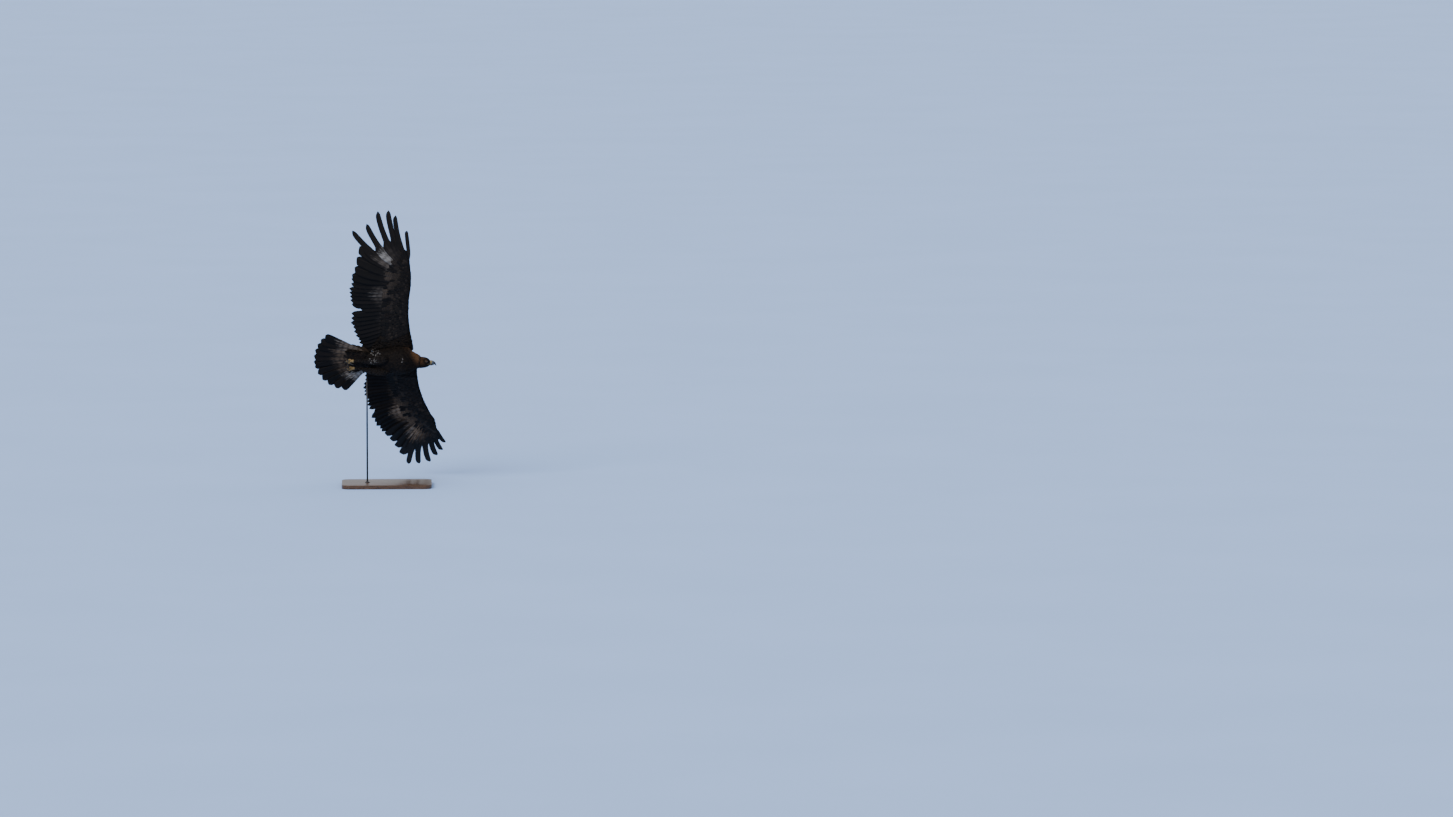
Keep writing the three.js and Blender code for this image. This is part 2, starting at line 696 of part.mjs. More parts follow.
const rodInBody = rod(baseSize.z, 2 * bodyHeight, rodRadius).intersect(toWorld(trunk(), bird));
const rodTop = rodInBody.boundingBox().min[2] + rodDepthInBody;
mesh("stand_base", standBase(), materials.wood, eagle);
mesh("stand_rod", rod(baseSize.z + gap, rodTop, rodRadius), materials.steel, eagle);

// Bird
const socket = toLocal(rod(baseSize.z, rodTop + gap, rodRadius + gap), bird);
mesh("torso", without(trunk(), socket), materials.plumage, bird);
for (const side of ["right", "left"]) {
  const wing = wingCore(side).add(wingFeathers(side));
  mesh("wing_" + side, without(wing, trunk(gap)), materials.flight, bird);
}
mesh("tail", without(tailRump().add(tailFan()), trunk(gap), socket), materials.flight, bird);
for (const side of ["right", "left"]) {
  mesh("thigh_" + side, without(thigh(side), trunk(gap), socket), materials.plumage, bird);
  mesh("shank_" + side, without(shank(side), thigh(side, gap)), materials.plumage, bird);
  mesh("foot_" + side, without(foot(side), shank(side, gap)), materials.foot, bird);
  for (const toe of toes) {
    mesh("claw_" + toe.name + "_" + side, without(claw(toe, side), foot(side, gap)), materials.horn, bird);
  }
}

// Head and bill
const cereEnd = billStart + cereLength;
const sockets = ["right", "left"].map((side) => ball(eyeRadius + gap, eyeCentre(side)));
const face = union([skull(), ...["right", "left"].flatMap((side) => [brow(side), lids(side)])]);
mesh("head", without(face, ...sockets), materials.nape, head);
const bill = billUpper();
const cereBlock = bill.intersect(slab(-60, cereEnd));
mesh("cere", without(cereBlock, skull(gap), nostril("left"), nostril("right")), materials.cere, head);
mesh("bill_upper", without(bill, slab(-60, cereEnd + gap)), materials.horn, head);
mesh("bill_lower", without(billLower(), skull(gap), billUpper(gap)), materials.horn, head);
for (const side of ["right", "left"]) {
  mesh("eye_" + side, ball(eyeRadius, eyeCentre(side)), materials.eye, head);
}
const neckPart = without(neck(), toWorld(trunk(gap), bird), toWorld(skull(gap), head));
mesh("neck", neckPart, materials.nape, eagle);

export default eagle;
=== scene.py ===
# Golden eagle banking in flight, a life-size still model on a plain display stand.
# Shapes are worked out in millimetres, in the bird's or the head's own frame, and then placed in metres.
import math
from functools import partial
import bmesh
import bpy
import numpy as np
from mathutils import Matrix, Vector, kdtree


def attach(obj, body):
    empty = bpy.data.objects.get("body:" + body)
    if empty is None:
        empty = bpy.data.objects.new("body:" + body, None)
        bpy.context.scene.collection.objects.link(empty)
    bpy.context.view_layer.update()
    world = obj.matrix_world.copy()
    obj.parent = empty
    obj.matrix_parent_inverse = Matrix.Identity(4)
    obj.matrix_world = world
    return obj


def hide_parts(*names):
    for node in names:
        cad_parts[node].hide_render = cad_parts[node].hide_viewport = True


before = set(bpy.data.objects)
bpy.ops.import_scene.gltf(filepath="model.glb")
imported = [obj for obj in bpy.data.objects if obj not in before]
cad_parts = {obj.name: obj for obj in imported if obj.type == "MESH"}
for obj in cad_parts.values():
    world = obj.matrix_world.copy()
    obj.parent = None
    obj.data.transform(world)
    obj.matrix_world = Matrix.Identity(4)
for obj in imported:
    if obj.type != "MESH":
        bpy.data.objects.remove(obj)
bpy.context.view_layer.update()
rng = np.random.default_rng(26)
sides = {"right": -1, "left": 1}          # which way each side lies across the bird

# Pose: the left wing is down, the nose a little up and turned to the viewer, the head held level
pose = {
    "bodyHeight": 905,
    "bank": 65,
    "yaw": 8,
    "pitch": 2,
    "headPlace": (242, -28, -13),
    "headTilt": 5,
}


def turn(axis, degrees):
    return Matrix.Rotation(math.radians(degrees), 4, axis)


lifted = Matrix.Translation((0, 0, pose["bodyHeight"]))
birdFrame = lifted @ turn("Y", -pose["pitch"]) @ turn("Z", -pose["yaw"]) @ turn("X", -pose["bank"])
headFrame = lifted @ Matrix.Translation(pose["headPlace"]) @ turn("Y", pose["headTilt"])


def placed(points, ownFrame=birdFrame):      # from millimetres in a frame of its own to metres
    m = np.array(ownFrame)
    return (np.asarray(points, float) @ m[:3, :3].T + m[:3, 3]) * 0.001


def headed(directions, ownFrame=birdFrame):      # turns directions only
    return np.asarray(directions, float) @ np.array(ownFrame)[:3, :3].T


def mix(a, b, t):
    return a + (b - a) * t


def smooth(x, low, high):
    t = np.clip((np.asarray(x, float) - low) / (high - low), 0, 1)
    return t * t * (3 - 2 * t)


def unit(vectors, least=1e-9):      # brought to length one
    return vectors / np.maximum(np.linalg.norm(vectors, axis=-1, keepdims=True), least)


def peak(x, middle, width):      # 1 at the middle, falling softly to both sides
    return math.exp(-((x - middle) / width) ** 2)


def curveThrough(rows):      # smooth curve through a table: first column the place, the rest values
    table = np.array(rows, float)
    last = len(table) - 1

    def valueAt(x):
        x = np.asarray(x, float)
        i = np.clip(np.searchsorted(table[:, 0], x, side="right") - 1, 0, last - 1)
        a, b, c, d = (table[np.clip(i + k, 0, last)] for k in (-1, 0, 1, 2))
        span = (c[..., 0] - b[..., 0])[..., None]
        t = np.clip((x - b[..., 0])[..., None] / span, 0, 1)
        slopeIn = (c - a) / (c[..., 0] - a[..., 0])[..., None] * span
        slopeOut = (d - b) / (d[..., 0] - b[..., 0])[..., None] * span
        t2, t3 = t * t, t * t * t
        ends = (2 * t3 - 3 * t2 + 1) * b + (3 * t2 - 2 * t3) * c
        return (ends + (t3 - 2 * t2 + t) * slopeIn + (t3 - t2) * slopeOut)[..., 1:]

    return valueAt


# Meshes from arrays
def setField(mesh, name, values):
    wide = np.ndim(values) > 1
    field = mesh.attributes.new(name, "FLOAT_VECTOR" if wide else "FLOAT", "POINT")
    field.data.foreach_set("vector" if wide else "value", np.asarray(values, float).ravel())


class Pile:      # gathers shells of points, faces and values into one mesh
    def __init__(self):
        self.points = []
        self.faces = []
        self.uvs = []
        self.values = {}
        self.count = 0

    def add(self, points, faces, uvs=None, **values):
        points = np.asarray(points, float).reshape(-1, 3)
        self.points.append(points)
        for k, corners in enumerate(faces):
            corners = np.asarray(corners, int)
            self.faces.append(corners + self.count)
            self.uvs.append(np.zeros(corners.shape + (2,)) if uvs is None else np.asarray(uvs[k], float))
        for name, value in values.items():
            column = np.broadcast_to(np.asarray(value, float), (len(points),) + np.shape(value)[1:])
            self.values.setdefault(name, []).append((self.count, column))
        self.count += len(points)

    def build(self, name, material=None, bakeMap=False):
        mesh = bpy.data.meshes.new(name)
        mesh.vertices.add(self.count)
        mesh.vertices.foreach_set("co", np.concatenate(self.points).ravel())
        loops = np.concatenate([f.ravel() for f in self.faces])
        sizes = np.concatenate([np.full(len(f), f.shape[1]) for f in self.faces])
        mesh.loops.add(len(loops))
        mesh.loops.foreach_set("vertex_index", loops)
        mesh.polygons.add(len(sizes))
        mesh.polygons.foreach_set("loop_start", np.concatenate([[0], np.cumsum(sizes)[:-1]]))
        mesh.polygons.foreach_set("loop_total", sizes)
        mesh.polygons.foreach_set("use_smooth", np.ones(len(sizes), bool))
        if bakeMap:
            layer = mesh.uv_layers.new(name="OFBake")
            layer.uv.foreach_set("vector", np.concatenate([u.reshape(-1, 2) for u in self.uvs]).ravel())
        for key, chunks in self.values.items():
            column = np.zeros((self.count, *chunks[0][1].shape[1:]))
            for start, chunk in chunks:
                column[start:start + len(chunk)] = chunk
            setField(mesh, key, column)
        mesh.update(calc_edges=True)
        mesh.validate()
        piece = bpy.data.objects.new(name, mesh)
        bpy.context.scene.collection.objects.link(piece)
        if material:
            mesh.materials.append(material)
        return piece


def facesOut(piece):      # turns every closed shell's faces outwards
    shape = bmesh.new()
    shape.from_mesh(piece.data)
    bmesh.ops.recalc_face_normals(shape, faces=shape.faces)
    shape.to_mesh(piece.data)
    shape.free()
    return piece


def gridQuads(index):      # faces between neighbours in a table of point numbers
    return np.stack([index[:-1, :-1], index[1:, :-1], index[1:, 1:], index[:-1, 1:]], -1).reshape(-1, 4)


def turnsOf(around):      # the angles of a ring's points
    return np.arange(around) * 2 * math.pi / around


def ringGrid(around, along):      # share of the length and angle of every point of a row of rings
    return np.meshgrid(np.linspace(0, 1, along + 1), turnsOf(around), indexing="ij")


def ringFaces(around, along):      # quads between the rings, and fans to two poles that follow them
    i, j = np.meshgrid(np.arange(along), np.arange(around), indexing="ij")
    a, b = i * around + j, i * around + (j + 1) % around
    quads = np.stack([a, b, b + around, a + around], -1).reshape(-1, 4)
    j = np.arange(around)
    nextJ = (j + 1) % around
    pole = (along + 1) * around
    near = np.stack([np.full(around, pole), nextJ, j], -1)
    far = np.stack([np.full(around, pole + 1), along * around + j, along * around + nextJ], -1)
    return [quads, np.concatenate([near, far])]


def ringShell(place, around, along):      # closed shell of rings, place(t, angle) with both as arrays
    rings = place(*ringGrid(around, along))
    points = np.concatenate([rings.reshape(-1, 3), rings[0].mean(0)[None], rings[-1].mean(0)[None]])
    return points, ringFaces(around, along)


def finish(piece, slot, *nodes):      # every piece rides on the one body of the still model
    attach(piece, "root")
    if nodes:
        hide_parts(*nodes)
    return piece


# Nodes
def addNode(tree, kind, settings=None, inputs=None):      # inputs by name or number, as links or values
    made = tree.nodes.new(kind)
    for name, value in (settings or {}).items():
        setattr(made, name, value)
    for name, value in (inputs or {}).items():
        if isinstance(value, Signal):
            value = value.socket
        if isinstance(value, bpy.types.NodeSocket):
            tree.links.new(value, made.inputs[name])
        else:
            made.inputs[name].default_value = value
    return made


def operator(operation, swapped=False):      # an operator that adds its Math node
    def apply(self, other):
        return self.math(operation, other, self) if swapped else self.math(operation, self, other)

    return apply


class Signal:      # a socket with the usual operators, and one method for every other node
    def __init__(self, socket):
        self.socket = socket
        self.tree = socket.id_data

    def node(self, kind, settings=None, inputs=None, output=0):
        return Signal(addNode(self.tree, kind, settings, inputs).outputs[output])

    def math(self, operation, a, b=0.0, c=0.0):
        return self.node("ShaderNodeMath", {"operation": operation}, {0: a, 1: b, 2: c})

    __add__ = operator("ADD")
    __radd__ = operator("ADD", swapped=True)
    __sub__ = operator("SUBTRACT")
    __rsub__ = operator("SUBTRACT", swapped=True)
    __mul__ = operator("MULTIPLY")
    __rmul__ = operator("MULTIPLY", swapped=True)

    def between(self, low, high):      # 0 below low, 1 above high, soft between
        settings = {"interpolation_type": "SMOOTHSTEP"}
        return self.node("ShaderNodeMapRange", settings, {"Value": self, "From Min": low, "From Max": high})

    def blend(self, a, b):      # colour a where this is 0, b where it is 1
        a, b = ((*x, 1) if isinstance(x, tuple) else x for x in (a, b))
        return self.node("ShaderNodeMix", {"data_type": "RGBA"}, {0: self, 6: a, 7: b}, 2)

    def field(self, name):
        return self.node("ShaderNodeAttribute", {"attribute_name": name}, {}, "Fac")

    def place(self, stretch=(1, 1, 1)):
        spot = self.node("ShaderNodeTexCoord", {}, {}, "Object")
        return self.node("ShaderNodeMapping", {}, {"Vector": spot, "Scale": stretch})

    def noise(self, spot, scale, detail=3.0, rough=0.55):
        inputs = {"Vector": spot, "Scale": scale, "Detail": detail, "Roughness": rough}
        return self.node("ShaderNodeTexNoise", {}, inputs, "Fac")

    def bump(self, height, strength, distance):
        return self.node("ShaderNodeBump", {}, {"Height": height, "Strength": strength, "Distance": distance})


def newMaterial(name, **constants):
    material = bpy.data.materials.new(name)
    material.use_nodes = True
    shader = material.node_tree.nodes["Principled BSDF"]
    for key, value in constants.items():
        shader.inputs[key.replace("_", " ")].default_value = value
    return material, Signal(shader.outputs[0])


def connect(material, **links):
    shader = material.node_tree.nodes["Principled BSDF"]
    for key, signal in links.items():
        material.node_tree.links.new(signal.socket, shader.inputs[key.replace("_", " ")])
    return material


plumageLook = {
    "dark": (0.0024, 0.0019, 0.0018),
    "brown": (0.0088, 0.0056, 0.0039),
    "rim": (0.021, 0.0134, 0.0086),
    "goldDeep": (0.015, 0.0072, 0.0036),
    "goldTip": (0.125, 0.058, 0.0225),
    "pale": (0.48, 0.44, 0.4),
    "barbs": 34,              # to a feather's length
    "roughness": 0.66,
}


def plumageMaterial(name, onSkin=False):
    look = plumageLook
    material, s = newMaterial(name, Specular_IOR_Level=0.09)
    spot = s.place()
    patch = s.noise(spot, 38, 4)
    gold, pale = s.field("gold"), s.field("pale")
    if onSkin:
        shade, along = s.noise(spot, 160, 3), s.noise(spot, 90, 3)
        height = s.noise(spot, 420, 3)
        body = (shade * 0.6 + patch * 0.4).between(0.3, 0.75).blend(look["dark"], look["brown"])
        rim = along.between(0.55, 0.8) * 0.3
        shaft = 0
        lean = 0
    else:
        shade, along, across = s.field("shade"), s.field("along"), s.field("across")
        lean = s.math("ABSOLUTE", across)
        fibre = s.noise(spot, 900, 2, 0.7)
        barb = s.math("SINE", (along * look["barbs"] - lean * 9 + fibre * 1.2) * 6.2832)
        shaft = 1 - lean.between(0.02, 0.16)
        height = barb * 0.3 + shaft * 0.8
        body = (shade * 0.62 + patch * 0.5 + barb * 0.03 - shaft * 0.2).between(0.25, 0.95)
        body = body.blend(look["dark"], look["brown"])
        rim = (along + lean * 0.12 + barb * 0.03).between(0.72, 1.02) * (0.25 + shade * 0.5)
    body = rim.blend(body, look["rim"])
    golden = (along * 0.8 + patch * 0.35 + shade * 0.2 - shaft * 0.3).between(0.3, 1.1)
    colour = gold.blend(body, golden.blend(look["goldDeep"], look["goldTip"]))
    colour = (pale * (along - lean * 0.25).between(0.66, 0.84)).blend(colour, look["pale"])
    rough = look["roughness"] + patch * 0.12 - gold * 0.08
    return connect(material, Base_Color=colour, Roughness=rough, Normal=s.bump(height, 0.35, 0.0004))


flightLook = {
    "dark": (0.0024, 0.002, 0.002),
    "brown": (0.0075, 0.0055, 0.0045),
    "grey": (0.055, 0.047, 0.041),
    # Raised to lighten the left wing's pale bases, painted light against the shade that wing lies in; also
    # the warm tone of the tail and coverts
    "warm": (0.2, 0.135, 0.088),
    "white": (0.38, 0.34, 0.3),
    "shaft": (0.02, 0.014, 0.01),
    "bars": 9,                # to a feather's length
    "barbs": 190,
    "roughness": 0.55,
}


def flightMaterial(name):
    look = flightLook
    material, s = newMaterial(name, Specular_IOR_Level=0.1)
    spot = s.place()
    patch = s.noise(spot, 30, 4)
    shade, along, across, pale = (s.field(key) for key in ("shade", "along", "across", "pale"))
    lean = s.math("ABSOLUTE", across)
    barb = s.math("SINE", (along * look["barbs"] - lean * 30) * 6.2832)
    shaft = 1 - lean.between(0.03, 0.075)
    # Streaks run with the barbs, slanting out from the shaft
    slant = s.node("ShaderNodeCombineXYZ", {}, {0: along * 26 - lean * 5, 1: across * 1.6, 2: shade * 40})
    streak = s.noise(slant, 1.0, 4, 0.65)
    length = s.node("ShaderNodeCombineXYZ", {}, {0: along * 3, 1: across * 5, 2: shade * 70})
    stripe = s.noise(length, 1.0, 3, 0.6)
    bars = s.math("SINE", (along * look["bars"] + streak * 1.2 + shade * 3) * 6.2832).between(-0.3, 0.9)
    edge = s.field("paleReach") + (streak - 0.5) * 0.35 + (stripe - 0.5) * 0.5
    base = (1 - (along - edge).between(-0.1, 0.1)) * pale
    light = base * (1 - bars * 0.45) * (0.35 + stripe * 0.9 + streak * 0.4).between(0.2, 1.35)
    brown = s.field("warmth").blend(look["brown"], plumageLook["brown"])
    body = (shade * 0.6 + patch * 0.4 + streak * 0.25).between(0.25, 1.1).blend(look["dark"], brown)
    tone = s.field("warmth").blend(look["grey"], look["warm"])
    tone = (s.field("bright") * (stripe * 2.2 - 0.3)).between(0.2, 0.95).blend(tone, look["white"])
    colour = light.blend(body, tone)
    colour = (shaft * 0.5).blend(colour, look["shaft"])
    rough = look["roughness"] + patch * 0.14 + base * 0.1
    height = barb * 0.25 + shaft * 0.9
    return connect(material, Base_Color=colour, Roughness=rough, Normal=s.bump(height, 0.35, 0.0004))


def hornMaterial(name, pale, dark, start, end):      # pale base to dark tip along the piece
    material, s = newMaterial(name, Coat_Weight=0.12, Coat_Roughness=0.25, Specular_IOR_Level=0.4)
    growth = s.field("along")
    clouds = s.noise(s.place(), 120, 4)
    lines = s.math("SINE", growth * 150 + clouds * 9) * 0.5 + 0.5
    tone = (growth + (clouds - 0.5) * 0.25).between(start, end)
    colour = (lines * 0.12 + clouds * 0.2).blend(tone.blend(pale, dark), (0.05, 0.045, 0.042))
    rough = 0.36 + clouds * 0.2
    return connect(material, Base_Color=colour, Roughness=rough, Normal=s.bump(lines + clouds, 0.12, 0.0004))


def bareSkinMaterial(name, deep, light, scaleSize, bumpDepth):
    material, s = newMaterial(name, Specular_IOR_Level=0.42)
    spot = s.place()
    inputs = {"Vector": spot, "Scale": scaleSize}
    cells = s.node("ShaderNodeTexVoronoi", {"feature": "DISTANCE_TO_EDGE"}, inputs)
    clouds = s.noise(spot, 90, 4)
    seam = 1 - cells.between(0.0, 0.12)
    colour = (clouds.between(0.3, 0.75)).blend(deep, light)
    colour = (seam * 0.55).blend(colour, tuple(0.45 * c for c in deep))
    # Darkened by the per-point attribute: painted shade inside the nostril hole, and a plain darker tint over
    # the whole gape and lid rims
    colour = (s.field("stain") * 0.9).blend(colour, (0.03, 0.024, 0.018))
    rough = 0.42 + clouds * 0.25
    height = cells.between(0, 0.2) + clouds * 0.3
    return connect(material, Base_Color=colour, Roughness=rough, Normal=s.bump(height, 0.6, bumpDepth))


def eyeMaterial():
    material, s = newMaterial("clearEye", Coat_Weight=0.3, Coat_Roughness=0.02, Specular_IOR_Level=0.1)
    ring, around = s.field("ring"), s.field("around")
    spread = s.node("ShaderNodeCombineXYZ", {}, {0: around * 22, 1: ring * 2.5})
    rays = s.noise(spread, 1.0, 4)
    iris = (rays + (1 - ring) * 0.25).between(0.15, 0.95).blend((0.04, 0.015, 0.005), (0.17, 0.078, 0.022))
    iris = ring.between(0.8, 0.97).blend(iris, (0.006, 0.004, 0.003))
    colour = ring.between(0.47, 0.51).blend((0.0015, 0.0015, 0.0015), iris)
    colour = ring.between(0.985, 1.03).blend(colour, (0.02, 0.015, 0.012))
    return connect(material, Base_Color=colour, Roughness=0.25 + rays * 0.1)


def woodMaterial():
    material, s = newMaterial("darkWood", Coat_Weight=0.12, Coat_Roughness=0.3, Specular_IOR_Level=0.3)
    spot = s.place((1.2, 9, 9))
    grain = s.noise(spot, 6, 6, 0.6)
    rings = s.math("SINE", (grain * 9 + s.noise(s.place((0.6, 5, 5)), 3, 3) * 6) * 6.2832) * 0.5 + 0.5
    pores = s.noise(s.place((3, 60, 60)), 14, 3, 0.7).between(0.55, 0.72)
    tone = (rings * 0.55 + grain * 0.5).between(0.15, 0.95)
    colour = tone.blend((0.035, 0.0165, 0.0085), (0.115, 0.056, 0.027))
    colour = (pores * 0.6).blend(colour, (0.014, 0.008, 0.005))
    rough = 0.3 + pores * 0.2 + rings * 0.06
    normal = s.bump(pores + rings * 0.3, 0.15, 0.0004)
    return connect(material, Base_Color=colour, Roughness=rough, Normal=normal)


def steelMaterial():
    material, s = newMaterial("blackenedSteel", Metallic=1.0, Specular_IOR_Level=0.5)
    brushed = s.noise(s.place((900, 900, 14)), 1, 3, 0.6)
    clouds = s.noise(s.place(), 22, 4)
    tone = (clouds * 0.6 + brushed * 0.3).between(0.2, 0.8)
    colour = tone.blend((0.03, 0.03, 0.033), (0.085, 0.085, 0.09))
    rough = 0.3 + brushed * 0.2 + clouds * 0.1
    return connect(material, Base_Color=colour, Roughness=rough, Normal=s.bump(brushed, 0.08, 0.0002))


print("materials")
coatMaterial = plumageMaterial("featherCoat")
skinMaterial = plumageMaterial("featheredSkin", onSkin=True)
wingMaterial = flightMaterial("wingFeather")
tailMaterial = flightMaterial("tailFeather")
billMaterial = hornMaterial("billHorn", (0.09, 0.095, 0.108), (0.006, 0.006, 0.007), 0.05, 0.5)
clawMaterial = hornMaterial("clawHorn", (0.04, 0.038, 0.038), (0.009, 0.009, 0.01), 0.0, 0.5)
cereMaterial = bareSkinMaterial("yellowCere", (0.17, 0.115, 0.036), (0.36, 0.26, 0.1), 900, 0.0002)
lidMaterial = bareSkinMaterial("eyeLid", (0.018, 0.014, 0.011), (0.055, 0.043, 0.028), 1100, 0.0003)
footMaterial = bareSkinMaterial("yellowScales", (0.13, 0.078, 0.026), (0.29, 0.19, 0.07), 330, 0.0006)

# Wing sheet: s runs out along the span from the bird's middle, c forward, n up
wing = {
    "rootHeight": 46,
    "dihedral": [[0, 0], [80, 12], [480, 12], [560, 15], [720, 17], [1150, 30]],
    "shoulder": (80, 120),
    "wrist": (530, 195),
    "camberDepth": 26,
    "camberChord": 400,
    "sweep": {"right": -3.5, "left": 1.5},
    "handTurn": {"right": -3, "left": 6},
    "leadingEdge": {      # s and c of points along the wing's front, and below along its back
        "right": [[60, 154], [160, 147], [274, 148], [350, 157], [422, 170], [510, 193], [600, 211],
                  [740, 222]],
        "left": [[60, 172], [135, 159], [220, 154], [299, 155], [424, 170], [532, 195], [620, 204],
                 [740, 206]],
    },
    "trailingEdge": {
        "right": [[80, -208], [140, -222], [200, -236], [300, -254], [400, -240], [485, -236], [545, -240],
                  [590, -222], [640, -206]],
        "left": [[80, -190], [125, -200], [243, -236], [300, -239], [407, -228], [494, -228], [530, -215],
                 [590, -200], [640, -184]],
    },
    "arm": [      # s, chord, thickness
        [50, 310, 60], [100, 284, 54], [150, 240, 50], [210, 200, 46], [300, 170, 40], [400, 150, 33],
        [480, 134, 29], [550, 122, 25], [620, 102, 20], [690, 72, 13], [735, 42, 6],
    ],
}
edgeCurve = {side: curveThrough(wing["leadingEdge"][side]) for side in sides}
backCurve = {side: curveThrough(wing["trailingEdge"][side]) for side in sides}
armCurve = curveThrough(wing["arm"])
spanGrid = np.linspace(0, 1300, 1301)
spanAngle = np.radians(np.interp(spanGrid, *np.array(wing["dihedral"], float).T))
spanAcross = np.concatenate([[0], np.cumsum(np.cos((spanAngle[1:] + spanAngle[:-1]) / 2))])
spanUp = wing["rootHeight"] + np.concatenate([[0], np.cumsum(np.sin((spanAngle[1:] + spanAngle[:-1]) / 2))])


def turned(s, c, pivot, degrees):
    angle = np.radians(degrees)
    ds, dc = s - pivot[0], c - pivot[1]
    newS = pivot[0] + ds * np.cos(angle) - dc * np.sin(angle)
    return newS, pivot[1] + ds * np.sin(angle) + dc * np.cos(angle)


def wingPoint(side, s, c, n):      # a point of the wing in the bird's frame
    s, c, n = np.broadcast_arrays(*(np.asarray(x, float) for x in (s, c, n)))
    s1, c1 = turned(s, c, wing["wrist"], wing["handTurn"][side] * smooth(s, 440, 620))
    s1, c1 = turned(s1, c1, wing["shoulder"], wing["sweep"][side] * smooth(s, 60, 200))
    across, up, angle = (np.interp(s1, spanGrid, column) for column in (spanAcross, spanUp, spanAngle))
    fade = mix(1, 0.35, smooth(s, 500, 900)) * smooth(s, 60, 260)
    behind = np.clip((edgeCurve[side](s)[..., 0] - c) / wing["camberChord"], 0, 1.3)
    height = n - wing["camberDepth"] * fade * behind ** 2
    return np.stack([c1, sides[side] * (across - height * np.sin(angle)), up + height * np.cos(angle)], -1)


def armHeight(side, s, c):      # how far the flesh of the arm stands from the sheet
    chord, thickness = np.moveaxis(armCurve(s), -1, 0)
    x = np.clip((edgeCurve[side](s)[..., 0] - c) / chord, 0, 1)
    inside = (s < wing["arm"][-1][0]).astype(float)
    return 1.25 * np.sqrt(x * (1 - x)) * (1 - 0.62 * x) * thickness * inside


# One feather as a closed shell on a sheet: rows give its width before and behind the quill along its length
def vane(place, root, tip, rows, rise=(0, 0, 0), tilt=0.09, scale=1.0, bend=0.0, steps=20, ribs=4,
         rounding=0.07, cup=0.05, shaft=(1.7, 0.35), thickness=(0.8, 0.4), ragged=0.0, splits=0):
    root, tip = np.array(root, float), np.array(tip, float)
    length = np.hypot(*(tip - root))
    ahead = (tip - root) / length
    t = np.linspace(0, 1, steps + 1)
    t = mix(t, 1 - (1 - t) ** 1.7, 0.45)
    splitAt = rng.uniform(0.45, 0.88, splits)      # places where the barbs have parted
    t = np.unique(np.concatenate([t, splitAt - 0.006, splitAt, splitAt + 0.004]))
    v = np.linspace(-1, 1, 2 * ribs + 1)
    v = np.sign(v) * np.abs(v) ** 1.25
    front, back = (column * scale for column in np.moveaxis(curveThrough(rows)(t), -1, 0))
    blunt = np.sqrt(np.clip(1 - ((t - (1 - rounding)) / rounding) ** 2, 0.02, 1))
    blunt = np.where(t > 1 - rounding, blunt, 1)
    tt, vv = np.meshgrid(t, v, indexing="ij")
    width = np.where(vv > 0, (front * blunt)[:, None], (back * blunt)[:, None])
    if ragged:
        notch = rng.normal(0, ragged, tt.shape) * (np.abs(vv) > 0.95) * smooth(tt, 0.2, 0.5)
        width = width * (1 - np.abs(notch))
    for at in splitAt:
        onSide = vv * rng.choice([-1, -1, 1]) > 0.35
        width = np.where((tt == at) & onSide, width * (1 - rng.uniform(0.1, 0.3) * np.abs(vv) ** 2), width)
    across = vv * width
    lift = np.where(tt < 0.5, mix(rise[0], rise[1], tt * 2), mix(rise[1], rise[2], tt * 2 - 1))
    middle = lift + across * tilt - cup * np.abs(across) * np.abs(vv)
    thick = mix(*thickness, tt) * (1 - 0.5 * np.abs(vv))
    quill = mix(*shaft, tt) * np.exp(-(vv / 0.07) ** 2)
    aside = across - bend * np.sin(math.pi * tt)
    s = root[0] + ahead[0] * length * tt - ahead[1] * aside
    c = root[1] + ahead[1] * length * tt + ahead[0] * aside
    top = place(s, c, middle + thick / 2 + quill * 0.5)
    bottom = place(s, c, middle - thick / 2 - quill)
    m, k = tt.shape
    index = np.arange(m * k).reshape(m, k)
    other = index + m * k
    quads = [gridQuads(index), gridQuads(other)]
    rims = [np.stack([index[:-1, j], index[1:, j], other[1:, j], other[:-1, j]], -1) for j in (0, k - 1)]
    ends = [np.stack([index[i, :-1], index[i, 1:], other[i, 1:], other[i, :-1]], -1) for i in (0, m - 1)]
    flat = np.stack([(vv + 1) / 2, tt], -1).reshape(-1, 2)
    both = np.tile(np.stack([tt.ravel(), vv.ravel()], -1), (2, 1))
    return {
        "points": np.concatenate([top.reshape(-1, 3), bottom.reshape(-1, 3)]),
        "faces": [*quads, *rims, *ends],
        "flat": flat,
        "size": m * k,
        "along": both[:, 0],
        "across": both[:, 1],
    }


def bakePatch(shape, spot, size):      # the map of a feather: its top and its underside side by side
    flat, half = shape["flat"], shape["size"]
    top = flat * (size[0] * 0.46, size[1] * 0.94) + spot
    under = top + (size[0] * 0.5, 0)
    every = np.concatenate([top, under])
    maps = [every[f] for f in shape["faces"][:2]]
    for f in shape["faces"][2:]:
        corner = every[f % half]
        corner[:, 2:] += 0.0006
        maps.append(corner)
    return maps


def addFeathers(pile, feathers, ownFrame=birdFrame):      # each a pair of a shape and its values
    columns = max(int(math.ceil(math.sqrt(len(feathers) * 3))), 1)
    rows = int(math.ceil(len(feathers) / columns))
    for k, (shape, values) in enumerate(feathers):
        spot = ((k % columns + 0.03) / columns, (k // columns + 0.03) / rows)
        maps = bakePatch(shape, spot, (1 / columns, 1 / rows))
        pile.add(placed(shape["points"], ownFrame), shape["faces"], maps,
                 along=shape["along"], across=shape["across"], **values)


def tint(shade, pale=0, paleReach=0, bright=0, warmth=0):      # what a feather's material reads from it
    return {"shade": shade, "pale": pale, "paleReach": paleReach, "bright": bright, "warmth": warmth}


